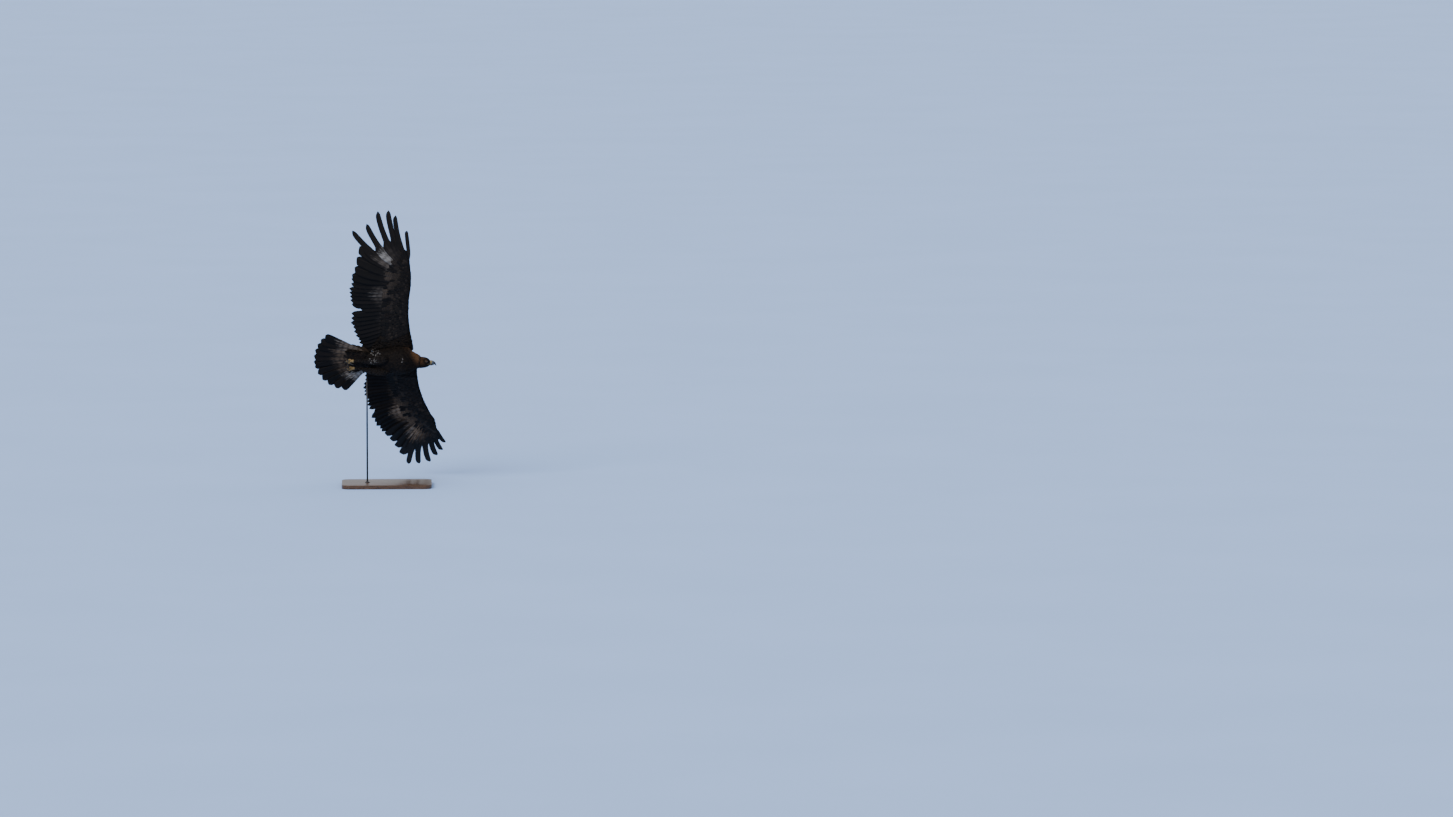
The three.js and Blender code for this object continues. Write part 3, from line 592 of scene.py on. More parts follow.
# Flight feathers, from the tip of the hand to the body
flight = {
    "primaryTips": {
        "right": [[668, -203], [716, -176], [783, -150], [857, -118], [976, -151], [1008, -43], [1085, 48],
                  [1081, 124], [1039, 171], [920, 224]],
        "left": [[712, -166], [783, -142], [866, -122], [958, -108], [1086, -104], [1098, -30], [1089, 52],
                 [1014, 124], [955, 182], [871, 216]],
    },
    "handRoots": {"right": [[540, 128], [712, 212]], "left": [[540, 128], [712, 194]]},
    "armRoots": [[150, 30], [522, 108]],
    "secondaries": 18,
    "secondarySpan": {"right": [640, 58], "left": [655, 84]},
    "moult": {"right": (7, 62), "left": (5, 34)},      # which secondary is still short, and by how much
    "unevenEnds": 4,
    "fingerFrom": [0.62, 0.54, 0.45, 0.43, 0.42, 0.3],      # where the outer six turn narrow
    "fingerBend": [24, 30, 30, 20, 12, 2],
    "outerRows": {
        "right": [[0, 6, 7], [0.2, 17, 9], [0.5, 18, 11], [0.9, 12, 14], [0.96, 9, 11], [1, 4, 5]],
        "left": [[0, 5, 8], [0.15, 12, 24], [0.4, 12, 27], [0.85, 10, 19], [0.96, 8, 12], [1, 3, 5]],
    },
    "outerForward": 7,
    "nextLead": 0.6,              # the leading vane of the feather beside it
    "longer": 6,
    "broad": [[0, 4, 5], [0.25, 13, 27], [0.6, 20, 52], [0.92, 20, 48], [0.97, 16, 36], [1, 9, 17]],
    "arm": [[0, 4, 5], [0.35, 12, 23], [0.84, 17, 34], [0.93, 14, 25], [0.975, 9, 15], [1, 4, 6]],
}


def fingerRows(start):
    return [[0, 7, 11], [start * 0.45, 14, 34], [start, 17, 50], [start + 0.08, 15, 30], [0.9, 13.5, 25],
            [0.96, 10.5, 19], [1, 4, 8]]


def flightPlan(side):
    tips, (rootIn, rootOut) = flight["primaryTips"][side], np.array(flight["handRoots"][side], float)
    broad = len(tips) - len(flight["fingerFrom"])
    plan = []
    for i, tip in enumerate(tips):
        finger = i - broad
        rows = flight["broad"] if finger < 0 else fingerRows(flight["fingerFrom"][finger])
        outermost = i == len(tips) - 1
        if i == len(tips) - 2:
            rows = [[t, lead * mix(1, flight["nextLead"], min(t * 4, 1)), trail] for t, lead, trail in rows]
        plan.insert(0, {
            "root": mix(rootIn, rootOut, i / (len(tips) - 1)),
            "tip": np.array(tip, float) + (0, flight["outerForward"] * outermost),
            "rows": flight["outerRows"][side] if outermost else rows,
            "bend": 0 if finger < 0 else flight["fingerBend"][finger],
            "rounding": 0.07 if finger < 0 else 0.05,
            "hand": (i + 1) / len(tips),
        })
    inner, outer = np.array(flight["armRoots"], float)
    count = flight["secondaries"]
    for i in range(count):
        t = i / (count - 1)
        s = mix(*flight["secondarySpan"][side], t)
        feather, short = flight["moult"][side]
        shorter = short if i == feather else flight["unevenEnds"] * math.sin(i * 2.4)
        back = float(backCurve[side](s)[0]) + shorter
        plan.append({
            "root": mix(outer, inner, t),
            "tip": np.array([s, back - flight["longer"]]),
            "rows": flight["arm"],
            "bend": 0,
            "rounding": 0.07,
            "hand": -t,
        })
    return plan


def paleShare(side, hand):      # how pale a feather's base is, how far that reaches, how bright it is
    if hand > 0:      # primaries, the fifth and sixth brightest
        pale = 0.08 + 0.92 * peak(hand, 0.43, 0.24)
        # On the left wing, which lies in shade, the pale bases carry less white and take a warmer, lighter
        # tone: painted light
        if side == "left":
            return pale, 0.34 + 0.14 * peak(hand, 0.3, 0.25), 0.1 + 0.35 * peak(hand, 0.3, 0.2)
        return pale, 0.32 + 0.15 * peak(hand, 0.58, 0.14), 0.05 + 1.05 * peak(hand, 0.59, 0.075)
    t = -hand
    pale = 0.12 + 0.55 * peak(t, 0.16, 0.16) + 0.22 * peak(t, 0.5, 0.12) + 0.1 * peak(t, 0.8, 0.1)
    pale *= 0.85 if side == "right" else 1.3
    return pale, 0.36 + 0.16 * peak(t, 0.13, 0.18), 0.12 + 0.3 * peak(t, 0.14, 0.12)


def flightFeathers(side):
    # The left wing's pale bases take the lighter warm tone, painted lighter to offset the shade that wing
    # lies in; the right wing's stay grey
    warmth = 0.15 if side == "right" else 1.0
    feathers = []
    for f in flightPlan(side):
        shape = vane(partial(wingPoint, side), f["root"], f["tip"], f["rows"], bend=f["bend"], steps=38,
                     ribs=5, rounding=f["rounding"], ragged=0.02, cup=0.06, splits=rng.integers(0, 3))
        pale, reach, bright = paleShare(side, f["hand"])
        feathers.append((shape, tint(rng.uniform(0.1, 0.9), pale, reach, bright, warmth)))
    return feathers


# Coverts: tiers on both faces, the end of each tier given along the flight feathers from their roots
coverts = {
    "tiers": [      # end and length in millimetres, count, how high the tip stands
        (114, 130, 30, 3.5), (78, 92, 34, 6), (54, 62, 38, 7), (34, 50, 42, 7.5), (16, 46, 44, 7.5),
        (-1, 42, 46, 7), (-17, 40, 46, 6.5), (-33, 38, 46, 6), (-48, 36, 46, 5.5), (-63, 34, 46, 5),
        (-78, 32, 44, 4.5), (-92, 30, 44, 4),
    ],
    "rows": [[0, 0.35, 0.4], [0.45, 0.6, 0.75], [0.85, 0.62, 0.78], [1, 0.4, 0.5]],      # of the spacing
    "firstReach": {"right": 0.5, "left": 1.2},      # of the longest tiers, at the outermost feather
    "upperPale": {0: 0.06, 1: 0.14, 2: 0.2, 3: 0.2, 4: 0.16, 5: 0.1},      # a browner panel over the middle
    "underPale": {0: 0.5, 1: 0.3},      # near the middle of the wing
}


def covertPale(face, tier, spot):
    chosen = rng.random() < 0.55
    if face > 0:
        return coverts["upperPale"].get(tier, 0.03) * rng.uniform(0.3, 1.3)
    if 1 < tier < 9 and rng.random() < 0.08:
        return 0.16
    if tier in coverts["underPale"]:
        return coverts["underPale"][tier] * peak(spot, 11, 6) * chosen
    return (0.15 if tier == 2 else 0.04) * chosen


def covertFeathers(side, face):
    plan = flightPlan(side)
    roots, tips = (np.array([f[key] for f in plan]) for key in ("root", "tip"))
    spots = np.arange(len(plan))

    def lineAt(spot):
        root = np.stack([np.interp(spot, spots, roots[:, k]) for k in (0, 1)], -1)
        tip = np.stack([np.interp(spot, spots, tips[:, k]) for k in (0, 1)], -1)
        return root, unit(tip - root)

    warmth = 0.45 if side == "right" and face < 0 else 1.0
    feathers = []
    for tier, (end, length, count, lift) in enumerate(coverts["tiers"]):
        spot = (np.arange(count) + 0.5 * (tier % 2) + 0.25) / count * (len(plan) - 1)
        root, ahead = lineAt(spot)
        first = coverts["firstReach"][side]
        handTier = np.interp(spot, [0, 2, 9, 12], [first, 1.2, 1.12, 1]) if end > 60 else 1
        ends = root + ahead * np.reshape(end * handTier * np.ones(count) + rng.normal(0, 3, count), (-1, 1))
        gaps = np.linalg.norm(np.diff(ends, axis=0), axis=-1)
        gaps = np.minimum(np.append(gaps, gaps[-1]), 34)
        for k in range(count):
            reach = length * mix(1, 0.8, tier > 4 and spot[k] < 9)
            start = ends[k] - ahead[k] * reach
            limit = float(edgeCurve[side](start[0])[0]) - 3
            if ends[k][1] > limit - 10:
                continue
            if start[1] > limit:
                start = mix(ends[k], start, (limit - ends[k][1]) / (start[1] - ends[k][1]))
            rise = lift * rng.uniform(0.75, 1.25)

            def place(s, c, n, rise=rise):
                flesh = armHeight(side, s, c)
                return wingPoint(side, s, c, face * (np.maximum(flesh * 0.97, 0.9) + n))

            size = max(gaps[k], 9)
            tall = tier < 2
            shape = vane(place, start, ends[k], coverts["rows"], rise=(-2.5, rise * 0.55, rise), tilt=0.05,
                         scale=size, steps=9 if tall else 5, ribs=3 if tall else 2, rounding=0.22, cup=0.1,
                         shaft=(0.7, 0.2), thickness=(0.6, 0.4))
            pale = covertPale(face, tier, spot[k])
            shade = rng.uniform(0, 1) * (0.6 if face < 0 else 1.0)
            feathers.append((shape, tint(shade, pale, 1.3, 0.2, warmth)))
    return feathers


thumbWing = {
    "root": (545, 180),
    "tips": [(640, 204), (676, 202), (706, 197), (726, 190)],
    "rows": [[0, 5, 6], [0.5, 9, 16], [0.85, 8, 15], [1, 4, 7]],
}


def thumbFeathers(side):
    feathers = []
    for k, tip in enumerate(thumbWing["tips"]):
        def place(s, c, n, k=k):
            flesh = armHeight(side, s, c)
            return wingPoint(side, s, c, np.maximum(flesh * 0.9, 1.5) + n + 5 - 1.2 * k)

        shape = vane(place, thumbWing["root"], tip, thumbWing["rows"], rise=(-4, 3, 2), steps=14, ribs=4,
                     rounding=0.12)
        feathers.append((shape, tint(rng.uniform(0.2, 0.7))))
    return feathers


print("wings")
for side in sides:
    pile = Pile()
    addFeathers(pile, flightFeathers(side) + thumbFeathers(side))
    finish(facesOut(pile.build("flight_" + side, wingMaterial, bakeMap=True)), "flight", "wing_" + side)
    for face, word in ((1, "upper"), (-1, "under")):
        pile = Pile()
        addFeathers(pile, covertFeathers(side, face))
        finish(facesOut(pile.build(f"coverts_{word}_{side}", wingMaterial, bakeMap=True)), "flight")

# Tail: the feathers fan out as if from a point well inside the trunk
tail = {
    "apex": (-34, -14, 34),
    "droop": 4,
    "yaw": 3.5,
    "halves": [(1, 33.8, 0.00018), (-1, 29.4, 0.00013)],      # mirror, spread in degrees, rounding of the end
    "reach": 527,
    "rootReach": 150,
    "feathers": 12,
    "rootSpread": 0.62,
    "rows": [[0, 5, 6], [0.4, 13, 26], [0.84, 19, 42], [0.96, 17, 38], [1, 9, 20]],
    "layer": 0.6,              # how far each feather lies under the one before
    "covertRows": [[0, 8, 9], [0.5, 17, 22], [0.85, 17, 23], [1, 9, 12]],
    "coverts": [      # first and last reach, count to a half, rise at root, middle and tip
        (140, 300, 6, (2, 8, 5)), (135, 262, 7, (4, 10, 8)), (130, 226, 7, (5, 12, 10)),
        (140, 322, 5, (-10, -10, -4)), (138, 288, 6, (-14, -15, -7)), (132, 252, 7, (-22, -23, -13)),
    ],
    "rump": [[126, 62, 6, -62], [160, 68, 6, -54], [200, 74, 6, -40], [240, 80, 5, -25], [275, 82, 4, -11]],
}
tailFrame = Matrix.Translation(tail["apex"]) @ turn("Y", -tail["droop"]) @ turn("Z", -tail["yaw"])


def tailPoint(s, c, n):      # s to the left, c forward of the apex, n up
    s, c, n = np.broadcast_arrays(s, c, n)
    return placed(np.stack([c, s, n], -1), tailFrame) * 1000


def polar(angle, reach):
    return np.array([reach * math.sin(math.radians(angle)), -reach * math.cos(math.radians(angle))])


def halfPlace(mirror, drop=0):      # place(s, c, n) on one half of the tail
    def place(s, c, n):
        return tailPoint(mirror * s, c, n - drop)

    return place


def tailFeathers():
    fan, small = [], []
    pairs = tail["feathers"] // 2
    for mirror, spread, rounding in tail["halves"]:
        for i in range(pairs):
            angle = spread * (i + 0.45) / (pairs - 0.5)
            reach = tail["reach"] * (1 - rounding * angle ** 2)
            root = polar(angle * tail["rootSpread"], tail["rootReach"])
            shape = vane(halfPlace(mirror, tail["layer"] * i), root, polar(angle, reach), tail["rows"],
                         steps=34, ribs=5, rounding=0.06, ragged=0.015, splits=rng.integers(0, 2))
            outer = smooth(i, 1.5, 4) * (0.8 if mirror > 0 else 0.45)
            values = tint(rng.uniform(0.1, 0.8), rng.uniform(0.22, 0.42) + 0.6 * outer,
                          rng.uniform(0.54, 0.64), 0.05 + outer, 1.0)
            fan.append((shape, values))
        for start, end, count, rise in tail["coverts"]:
            for i in range(count):
                angle = spread * (i + 0.35) / (count - 0.2) * (0.95 if rise[0] > 0 else 0.6)
                root = polar(angle * tail["rootSpread"], start)
                shape = vane(halfPlace(mirror), root, polar(angle, end * (1 - 0.012 * i)), tail["covertRows"],
                             rise=rise, tilt=0.05, steps=12, ribs=4, rounding=0.2, shaft=(0.9, 0.3))
                values = tint(rng.uniform(0.3, 1), rng.uniform(0.2, 0.5) if rise[0] < 0 else 0.12,
                              rng.uniform(0.7, 1.1), 0.1, 1.0)
                small.append((shape, values))
    return fan, small


print("tail")
fan, small = tailFeathers()
for name, feathers, nodes in (("tail_fan", fan, ["tail"]), ("tail_coverts", small, [])):
    pile = Pile()
    addFeathers(pile, feathers)
    finish(facesOut(pile.build(name, tailMaterial, bakeMap=True)), "flight", *nodes)

# Flesh under the coat: round shapes through stations, each point with the way its feathers lie there
body = {
    "trunk": [      # x, half width, top, bottom
        [-206, 30, 26, -14], [-190, 50, 36, -30], [-150, 68, 46, -56], [-90, 84, 58, -80], [-20, 95, 66, -96],
        [50, 99, 68, -104], [110, 92, 64, -98], [150, 76, 54, -80], [178, 58, 42, -60],
    ],
    "neckStart": ((120, 0, -16), 85, 75),      # place, half width, half height
    "neckEnd": ((211, -27, -14), 27, 35),
    "thigh": [      # x, y, z, half width, half height
        [26, 44, -50, 24, 24], [-40, 46, -70, 33, 34], [-80, 45, -79, 33, 33], [-120, 42, -80, 30, 28],
        [-172, 37, -72, 22, 21], [-208, 33, -62, 15, 15],
    ],
    "shank": [
        [-200, 33, -60, 12, 13], [-222, 32, -58, 13, 13], [-246, 31, -55, 12, 12], [-264, 30, -53, 10, 11],
    ],
    "coatDepth": {"trunk": 6, "neck": 1, "thigh": 7, "shank": 3, "wing": 2, "rump": 4, "head": 3.5},
    "leaf": {      # width and length of the feathers
        "trunk": (19, 29), "neck": (11, 27), "rump": (22, 34), "thigh": (14, 27), "shank": (6, 11),
        "wing": (9, 14), "head": (5, 8),
    },
    "voxel": 0.004,      # in metres
    "flecks": [(-97, 960, 54, 22), (-108, 908, 34, 20), (97, 909, 13, 22)],      # x, z, half sizes
    "fleckShare": 0.2,
}
depth = body["coatDepth"]


def catmull(rows):      # line through points, by share of its length
    fine = curveThrough([[i, *row] for i, row in enumerate(rows)])(np.linspace(0, len(rows) - 1, 200))
    far = np.concatenate([[0], np.cumsum(np.linalg.norm(np.diff(fine[:, :3], axis=0), axis=1))])

    def valueAt(u):
        return np.stack([np.interp(u * far[-1], far, column) for column in fine.T], -1)

    return valueAt, far[-1]


def limbPlace(rows, grow=0.0):      # place(t, angle) of a round limb with domed ends
    line, length = catmull(rows)

    def place(t, angle):
        u = (1 - np.cos(t * math.pi)) / 2
        here = line(u)
        along = unit(line(np.clip(u + 0.01, 0, 1))[..., :3] - line(np.clip(u - 0.01, 0, 1))[..., :3])
        side = unit(np.cross((0.0, 0.0, 1.0), along))
        above = np.cross(along, side)
        size = here[..., 3:5] + grow
        dome = size[..., 0] / length
        inset = np.minimum(u, 1 - u)
        share = np.where(inset < dome, np.sqrt(np.maximum(1 - ((dome - inset) / dome) ** 2, 0.04)), 1)
        across = (size[..., 0] * share * np.cos(angle))[..., None] * side
        return here[..., :3] + across + (size[..., 1] * share * np.sin(angle))[..., None] * above

    return place


def mirrored(rows, side):
    return [[x, y * sides[side], *rest] for x, y, *rest in rows]


def trunkPlace(t, angle):
    size = curveThrough(body["trunk"])
    x = mix(body["trunk"][0][0] + depth["trunk"], body["trunk"][-1][0] - depth["trunk"], t)
    halfWidth, top, bottom = np.moveaxis(size(x), -1, 0)
    half = (top - bottom) / 2 - depth["trunk"]
    close = np.sqrt(1 - (0.85 * np.clip((x - 126) / 44, 0, 1)) ** 2)
    across = (halfWidth - depth["trunk"]) * close * np.cos(angle)
    return np.stack([x, across, (top + bottom) / 2 + half * close * np.sin(angle)], -1)


def neckPlace(t, angle):      # in the stand's own axes, its sections turning from the trunk's to the head's
    startPlace, startWidth, startHeight = body["neckStart"]
    endPlace, endWidth, endHeight = body["neckEnd"]
    start = placed(startPlace) * 1000 - (0, 0, pose["bodyHeight"])
    end = np.array(endPlace, float)
    line, _ = catmull([start, mix(start, end, 0.5) + (4, -4, 2), end])
    banked = birdFrame.to_quaternion()
    upright = Matrix.Identity(3).to_quaternion()
    points = np.zeros(t.shape + (3,))
    for i, here in enumerate(t[:, 0]):
        turnHere = np.array(banked.slerp(upright, float(smooth(here, 0, 1))).to_matrix())
        width = mix(startWidth, endWidth, here) - depth["neck"]
        height = mix(startHeight, endHeight, here) - depth["neck"]
        ring = np.stack([np.zeros(t.shape[1]), width * np.cos(angle[i]), height * np.sin(angle[i])], -1)
        points[i] = line(here) + ring @ turnHere.T + (0, 0, pose["bodyHeight"])
    return points


def rumpPlace(t, angle):
    reach = mix(tail["rump"][0][0], tail["rump"][-1][0], t)
    halfWidth, top, bottom = np.moveaxis(curveThrough(tail["rump"])(reach), -1, 0)
    height = (top + bottom) / 2 + np.sin(angle) * ((top - bottom) / 2 - depth["rump"])
    return tailPoint((halfWidth - depth["rump"]) * np.cos(angle), -reach, height)


def armPlace(side):
    def place(t, angle):
        s = mix(wing["arm"][0][0], wing["arm"][-1][0], t)
        chord, thickness = np.moveaxis(armCurve(s), -1, 0)
        along = (1 - np.cos(angle)) / 2
        profile = np.sin(angle) * (1 - 0.62 * along) * 1.25
        n = profile * np.maximum(thickness / 2 - depth["wing"], 1)
        return wingPoint(side, s, edgeCurve[side](s)[..., 0] - along * chord, n)

    return place


level = Matrix.Identity(4)
fleshPlan = [      # region, place, own frame, points around and along, which way the feathers lie
    ("trunk", trunkPlace, birdFrame, 72, 72, -1),
    ("neck", neckPlace, level, 64, 32, -1),
    ("rump", rumpPlace, birdFrame, 48, 32, 1),
]
for side in sides:
    for limb, around, along in (("thigh", 40, 40), ("shank", 32, 28)):
        place = limbPlace(mirrored(body[limb], side), -depth[limb])
        fleshPlan.append((limb, place, birdFrame, around, along, 1))
    fleshPlan.append(("wing", armPlace(side), birdFrame, 72, 120, 0))
regionNames = ["trunk", "neck", "rump", "thigh", "shank", "wing", "head"]


def fleshOf(plan):      # one pile of every shape, and its points with their lie and region for later lookup
    pile, spots, lies, regions = Pile(), [], [], []
    for region, place, own, around, along, way in plan:
        points, faces = ringShell(place, around, along)
        pile.add(placed(points, own), faces)
        rings = points[:-2].reshape(along + 1, around, 3)
        angle = turnsOf(around)
        if way:      # and a little outwards, which tells at a blunt end
            outward = 0.0 if region == "neck" else 0.5
            lie = unit(np.gradient(rings, axis=0) * way)
            lie = lie + outward * unit(rings - rings.mean(1, keepdims=True))
        else:      # on an arm they lie backwards, down both faces from the leading edge
            lie = unit(np.roll(rings, -1, axis=1) - np.roll(rings, 1, axis=1)) * np.sin(angle)[None, :, None]
            ahead = np.maximum(np.cos(angle), 0)[None, :, None]
            lie = unit(lie * 3) + 0.45 * ahead * unit(np.gradient(rings, axis=0))
        lie = unit(headed(lie.reshape(-1, 3), own))
        spots.append(placed(points[:-2], own))
        up = np.tile(np.sin(angle) if way else np.cos(angle), along + 1)
        lies.append(np.column_stack([lie, up]))
        regions.append(np.full(len(lie), regionNames.index(region)))
    return pile, np.concatenate(spots), np.concatenate(lies), np.concatenate(regions)


def remeshed(piece, voxel, rounds):      # one closed even skin out of overlapping shapes
    remesh = piece.modifiers.new("remesh", "REMESH")
    remesh.mode = "VOXEL"
    remesh.voxel_size = voxel
    remesh.use_smooth_shade = True
    soften = piece.modifiers.new("soften", "SMOOTH")
    soften.iterations = rounds
    soften.factor = 0.5
    graph = bpy.context.evaluated_depsgraph_get()
    mesh = bpy.data.meshes.new_from_object(piece.evaluated_get(graph))
    mesh.name = piece.name
    piece.modifiers.clear()
    old = piece.data
    piece.data = mesh
    bpy.data.meshes.remove(old)
    return piece


def pointsOf(mesh):
    points = np.zeros(len(mesh.vertices) * 3)
    mesh.vertices.foreach_get("co", points)
    return points.reshape(-1, 3)


def normalsOf(mesh):
    normals = np.zeros(len(mesh.vertices) * 3)
    mesh.vertex_normals.foreach_get("vector", normals)
    return normals.reshape(-1, 3)


def nearest(points, spots, values, count=4):      # the mean of the nearest spots' values, and their regions
    tree = kdtree.KDTree(len(spots))
    for i, spot in enumerate(spots):
        tree.insert(spot, i)
    tree.balance()
    found = np.array([[hit[1] for hit in tree.find_n(point, count)] for point in points])
    return values[found].mean(1), found[:, 0]


def spread(mesh, values, rounds):      # evens out values over the skin
    edges = np.zeros(len(mesh.edges) * 2, int)
    mesh.edges.foreach_get("vertices", edges)
    a, b = edges.reshape(-1, 2).T
    for _ in range(rounds):
        total, share = values.copy(), np.ones(len(values))
        np.add.at(total, a, values[b])
        np.add.at(total, b, values[a])
        np.add.at(share, a, 1)
        np.add.at(share, b, 1)
        values = total / share[:, None]
    return values


def alongSkin(mesh, lie):      # a direction laid flat on the skin
    normals = normalsOf(mesh)
    return unit(lie - (lie * normals).sum(1, keepdims=True) * normals, 1e-6)


def flowOn(mesh, points, spots, lies, rounds):      # the lie on the skin, how far up, and the nearest spots
    values, first = nearest(points, spots, lies)
    values = spread(mesh, values, rounds)
    return alongSkin(mesh, values[:, :3]), values[:, 3], first


def combed(mesh, lie, share):      # turned straight back from the head where share is 1
    return alongSkin(mesh, mix(lie, headed((-1, 0, 0), headFrame), np.asarray(share, float)[:, None]))


def inFrame(points, ownFrame):      # back from metres to a frame of its own
    m = np.array(ownFrame.inverted())
    return points * 1000 @ m[:3, :3].T + m[:3, 3]


print("skin")
pile, spots, lies, regions = fleshOf(fleshPlan)
bodySkin = remeshed(pile.build("eagle_skin"), body["voxel"], 12)
skinPoints = pointsOf(bodySkin.data)
lie, up, first = flowOn(bodySkin.data, skinPoints, spots, lies, 8)
region = regions[first]
inside = {name: region == number for number, name in enumerate(regionNames)}
toHead = inFrame(skinPoints, headFrame)
onBird = inFrame(skinPoints, birdFrame)
lie = combed(bodySkin.data, lie, smooth(toHead[:, 0], -110, -60) * ~inside["wing"])
# Longer ones near the shoulders, which bridge the crease between wing and back
aside = np.abs(onBird[:, 1])
bridging = smooth(aside, 260, 140) * smooth(up, 0.98, 0.7)
longer = np.where(inside["wing"], mix(1, 1.8, bridging), 1)
longer *= 1 + 0.35 * (onBird[:, 2] > 0) * smooth(aside, 50, 80) * smooth(aside, 170, 130)
leafTable = np.array([body["leaf"][name] for name in regionNames], float) * 0.001
size = spread(bodySkin.data, leafTable[region] * longer[:, None], 12)
setField(bodySkin.data, "lie", lie)
setField(bodySkin.data, "leafSize", np.stack([size[:, 0], size[:, 1], size[:, 1]], -1))
share = {name: spread(bodySkin.data, inside[name].astype(float)[:, None], 4)[:, 0] for name in regionNames}
neckward = smooth(toHead[:, 0], -150, -50)
gold = share["neck"] * (0.15 + 0.85 * neckward) * smooth(up, -0.75, 0.5)
gold += share["trunk"] * 0.3 * smooth(up, 0.1, 0.9) * smooth(onBird[:, 0], 60, 170)
setField(bodySkin.data, "gold", np.clip(gold, 0, 1))
# White flecks on the near flank, where a few feathers are worn
flecks = np.zeros(len(skinPoints))
skinNormals = normalsOf(bodySkin.data)
for x, z, wide, tall in body["flecks"]:
    near = ((skinPoints[:, 0] * 1000 - x) / wide) ** 2 + ((skinPoints[:, 2] * 1000 - z) / tall) ** 2
    chosen = rng.random(len(skinPoints)) < body["fleckShare"]
    flecks += (near < 1) * chosen * (skinNormals[:, 1] < 0)
setField(bodySkin.data, "pale", np.clip(share["shank"] * 0.14 + share["thigh"] * 0.025 + flecks, 0, 1))
bodied = (inside["trunk"] | inside["rump"]) & (onBird[:, 0] > -292)
masks = {
    "onBreast": bodied & (up < 0),
    "onBack": bodied & (up >= 0),
    "onNeck": inside["neck"] * smooth(toHead[:, 0], -37, -46) * mix(0.5, 1, neckward),
    "onLegs": inside["thigh"] | inside["shank"],
    "onWing": inside["wing"] & ((up > 0.2) | ((np.abs(onBird[:, 1]) < 190) & (up > -0.78))),
}
for name, mask in masks.items():
    setField(bodySkin.data, name, mask * 1.0)

# Head, in its own frame: forward +X, left +Y, up +Z, origin between the eyes
head = {
    "skull": [      # x, half width, top, bottom
        [-58, 21, 16, -30], [-48, 31, 29, -43], [-34, 36.5, 35, -46], [-16, 37.5, 36.5, -44],
        [2, 35, 34, -40], [14, 29.5, 28.5, -34.5], [23, 22.5, 21, -27.5], [29, 17.5, 16, -23],
    ],
    "crownNarrowing": 0.16,
    "brow": [[-19, 25, 18.5, 4, 3.8], [-9, 30, 19, 6, 4.2], [2, 31.6, 17.8, 6.4, 4], [12, 28.5, 15, 5.6, 3.6],
             [21, 20.5, 11, 4.4, 3], [28, 12.5, 8, 3, 2.4]],
    "eyeBall": (-1, 25.8, 8.6, 9.8),      # centre and radius
    "iris": 7.3,
    "eyeTurn": 12,      # forward, in degrees
    "voxel": 0.001,      # in metres
    "billTop": [[0, 14.5], [10, 15.5], [20, 14], [32, 7.5], [41, -3], [45, -14], [46, -23]],
    "billEdge": [[0, -9.5], [12, -9], [22, -9.5], [31, -11], [38, -15], [43, -20], [46, -23]],
    "billWidth": [[0, 13.5], [10, 12.5], [20, 10], [30, 7], [38, 4.2], [44, 1.8], [46, 0.7]],
    "billStart": 28,
    "billLength": 46,
    "lowerDepth": [[0, -22.5], [10, -21.5], [20, -19], [28, -14.5], [31, -12.5]],
    "cereLength": 12,
    "nostril": (35.5, 3.5),      # x and z
    "nostrilLean": 32,
    "nostrilHalf": (1.75, 3.1),
    "nostrilDepth": 3.6,
    "gape": [      # x, z and radius along its upper and its lower rim
        [(37, -10.2, 0.6), (32, -10.1, 0.9), (26, -10.4, 0.95), (18, -11.2, 0.85), (12, -12.5, 0.65),
         (8, -13.7, 0.4)],
        [(34, -11.4, 0.5), (27, -11.7, 0.6), (19, -12.4, 0.55), (14, -13.3, 0.45), (10, -14.4, 0.3)],
    ],
}


def skullPlace(t, angle):
    x = mix(head["skull"][0][0] + depth["head"], head["skull"][-1][0] - 0.5, t)
    halfWidth, top, bottom = np.moveaxis(curveThrough(head["skull"])(x), -1, 0)
    narrow = 1 - head["crownNarrowing"] * np.maximum(np.sin(angle), 0) ** 2
    across = (halfWidth - depth["head"]) * np.cos(angle) * narrow
    half = (top - bottom) / 2 - depth["head"]
    return np.stack([x, across, (top + bottom) / 2 + half * np.sin(angle)], -1)


def skullSide(x, z):      # how far out the plumed face stands at a place seen from the side
    halfWidth, top, bottom = curveThrough(head["skull"])(x)
    up = np.clip((z - (top + bottom) / 2) / ((top - bottom) / 2), -0.98, 0.98)
    narrow = 1 - head["crownNarrowing"] * max(up, 0) ** 2
    return (halfWidth - depth["head"]) * math.sqrt(1 - up * up) * narrow


print("head")
headPlan = [("head", skullPlace, headFrame, 96, 80, -1)]
for side in sides:
    headPlan.append(("head", limbPlace(mirrored(head["brow"], side), -0.4), headFrame, 32, 40, -1))
pile, spots, lies, regions = fleshOf(headPlan)
headSkin = remeshed(pile.build("head_skin"), head["voxel"], 2)
own = inFrame(pointsOf(headSkin.data), headFrame)
eyeX, eyeY, eyeZ, eyeRadius = head["eyeBall"]
fromEye = np.hypot(own[:, 0] - eyeX, (own[:, 2] - eyeZ) * 1.05)
lateral = np.abs(own[:, 1])
# The skin dips in round each eye, under the brow
hollow = mix(24, lateral, smooth(fromEye, 8.2, 11.8))
underBrow = own[:, 2] < eyeZ + 5.6
socket = (fromEye < 11.8) & (lateral > 8) & underBrow
own[:, 1] = np.sign(own[:, 1]) * np.where(socket, np.minimum(lateral, hollow), lateral)
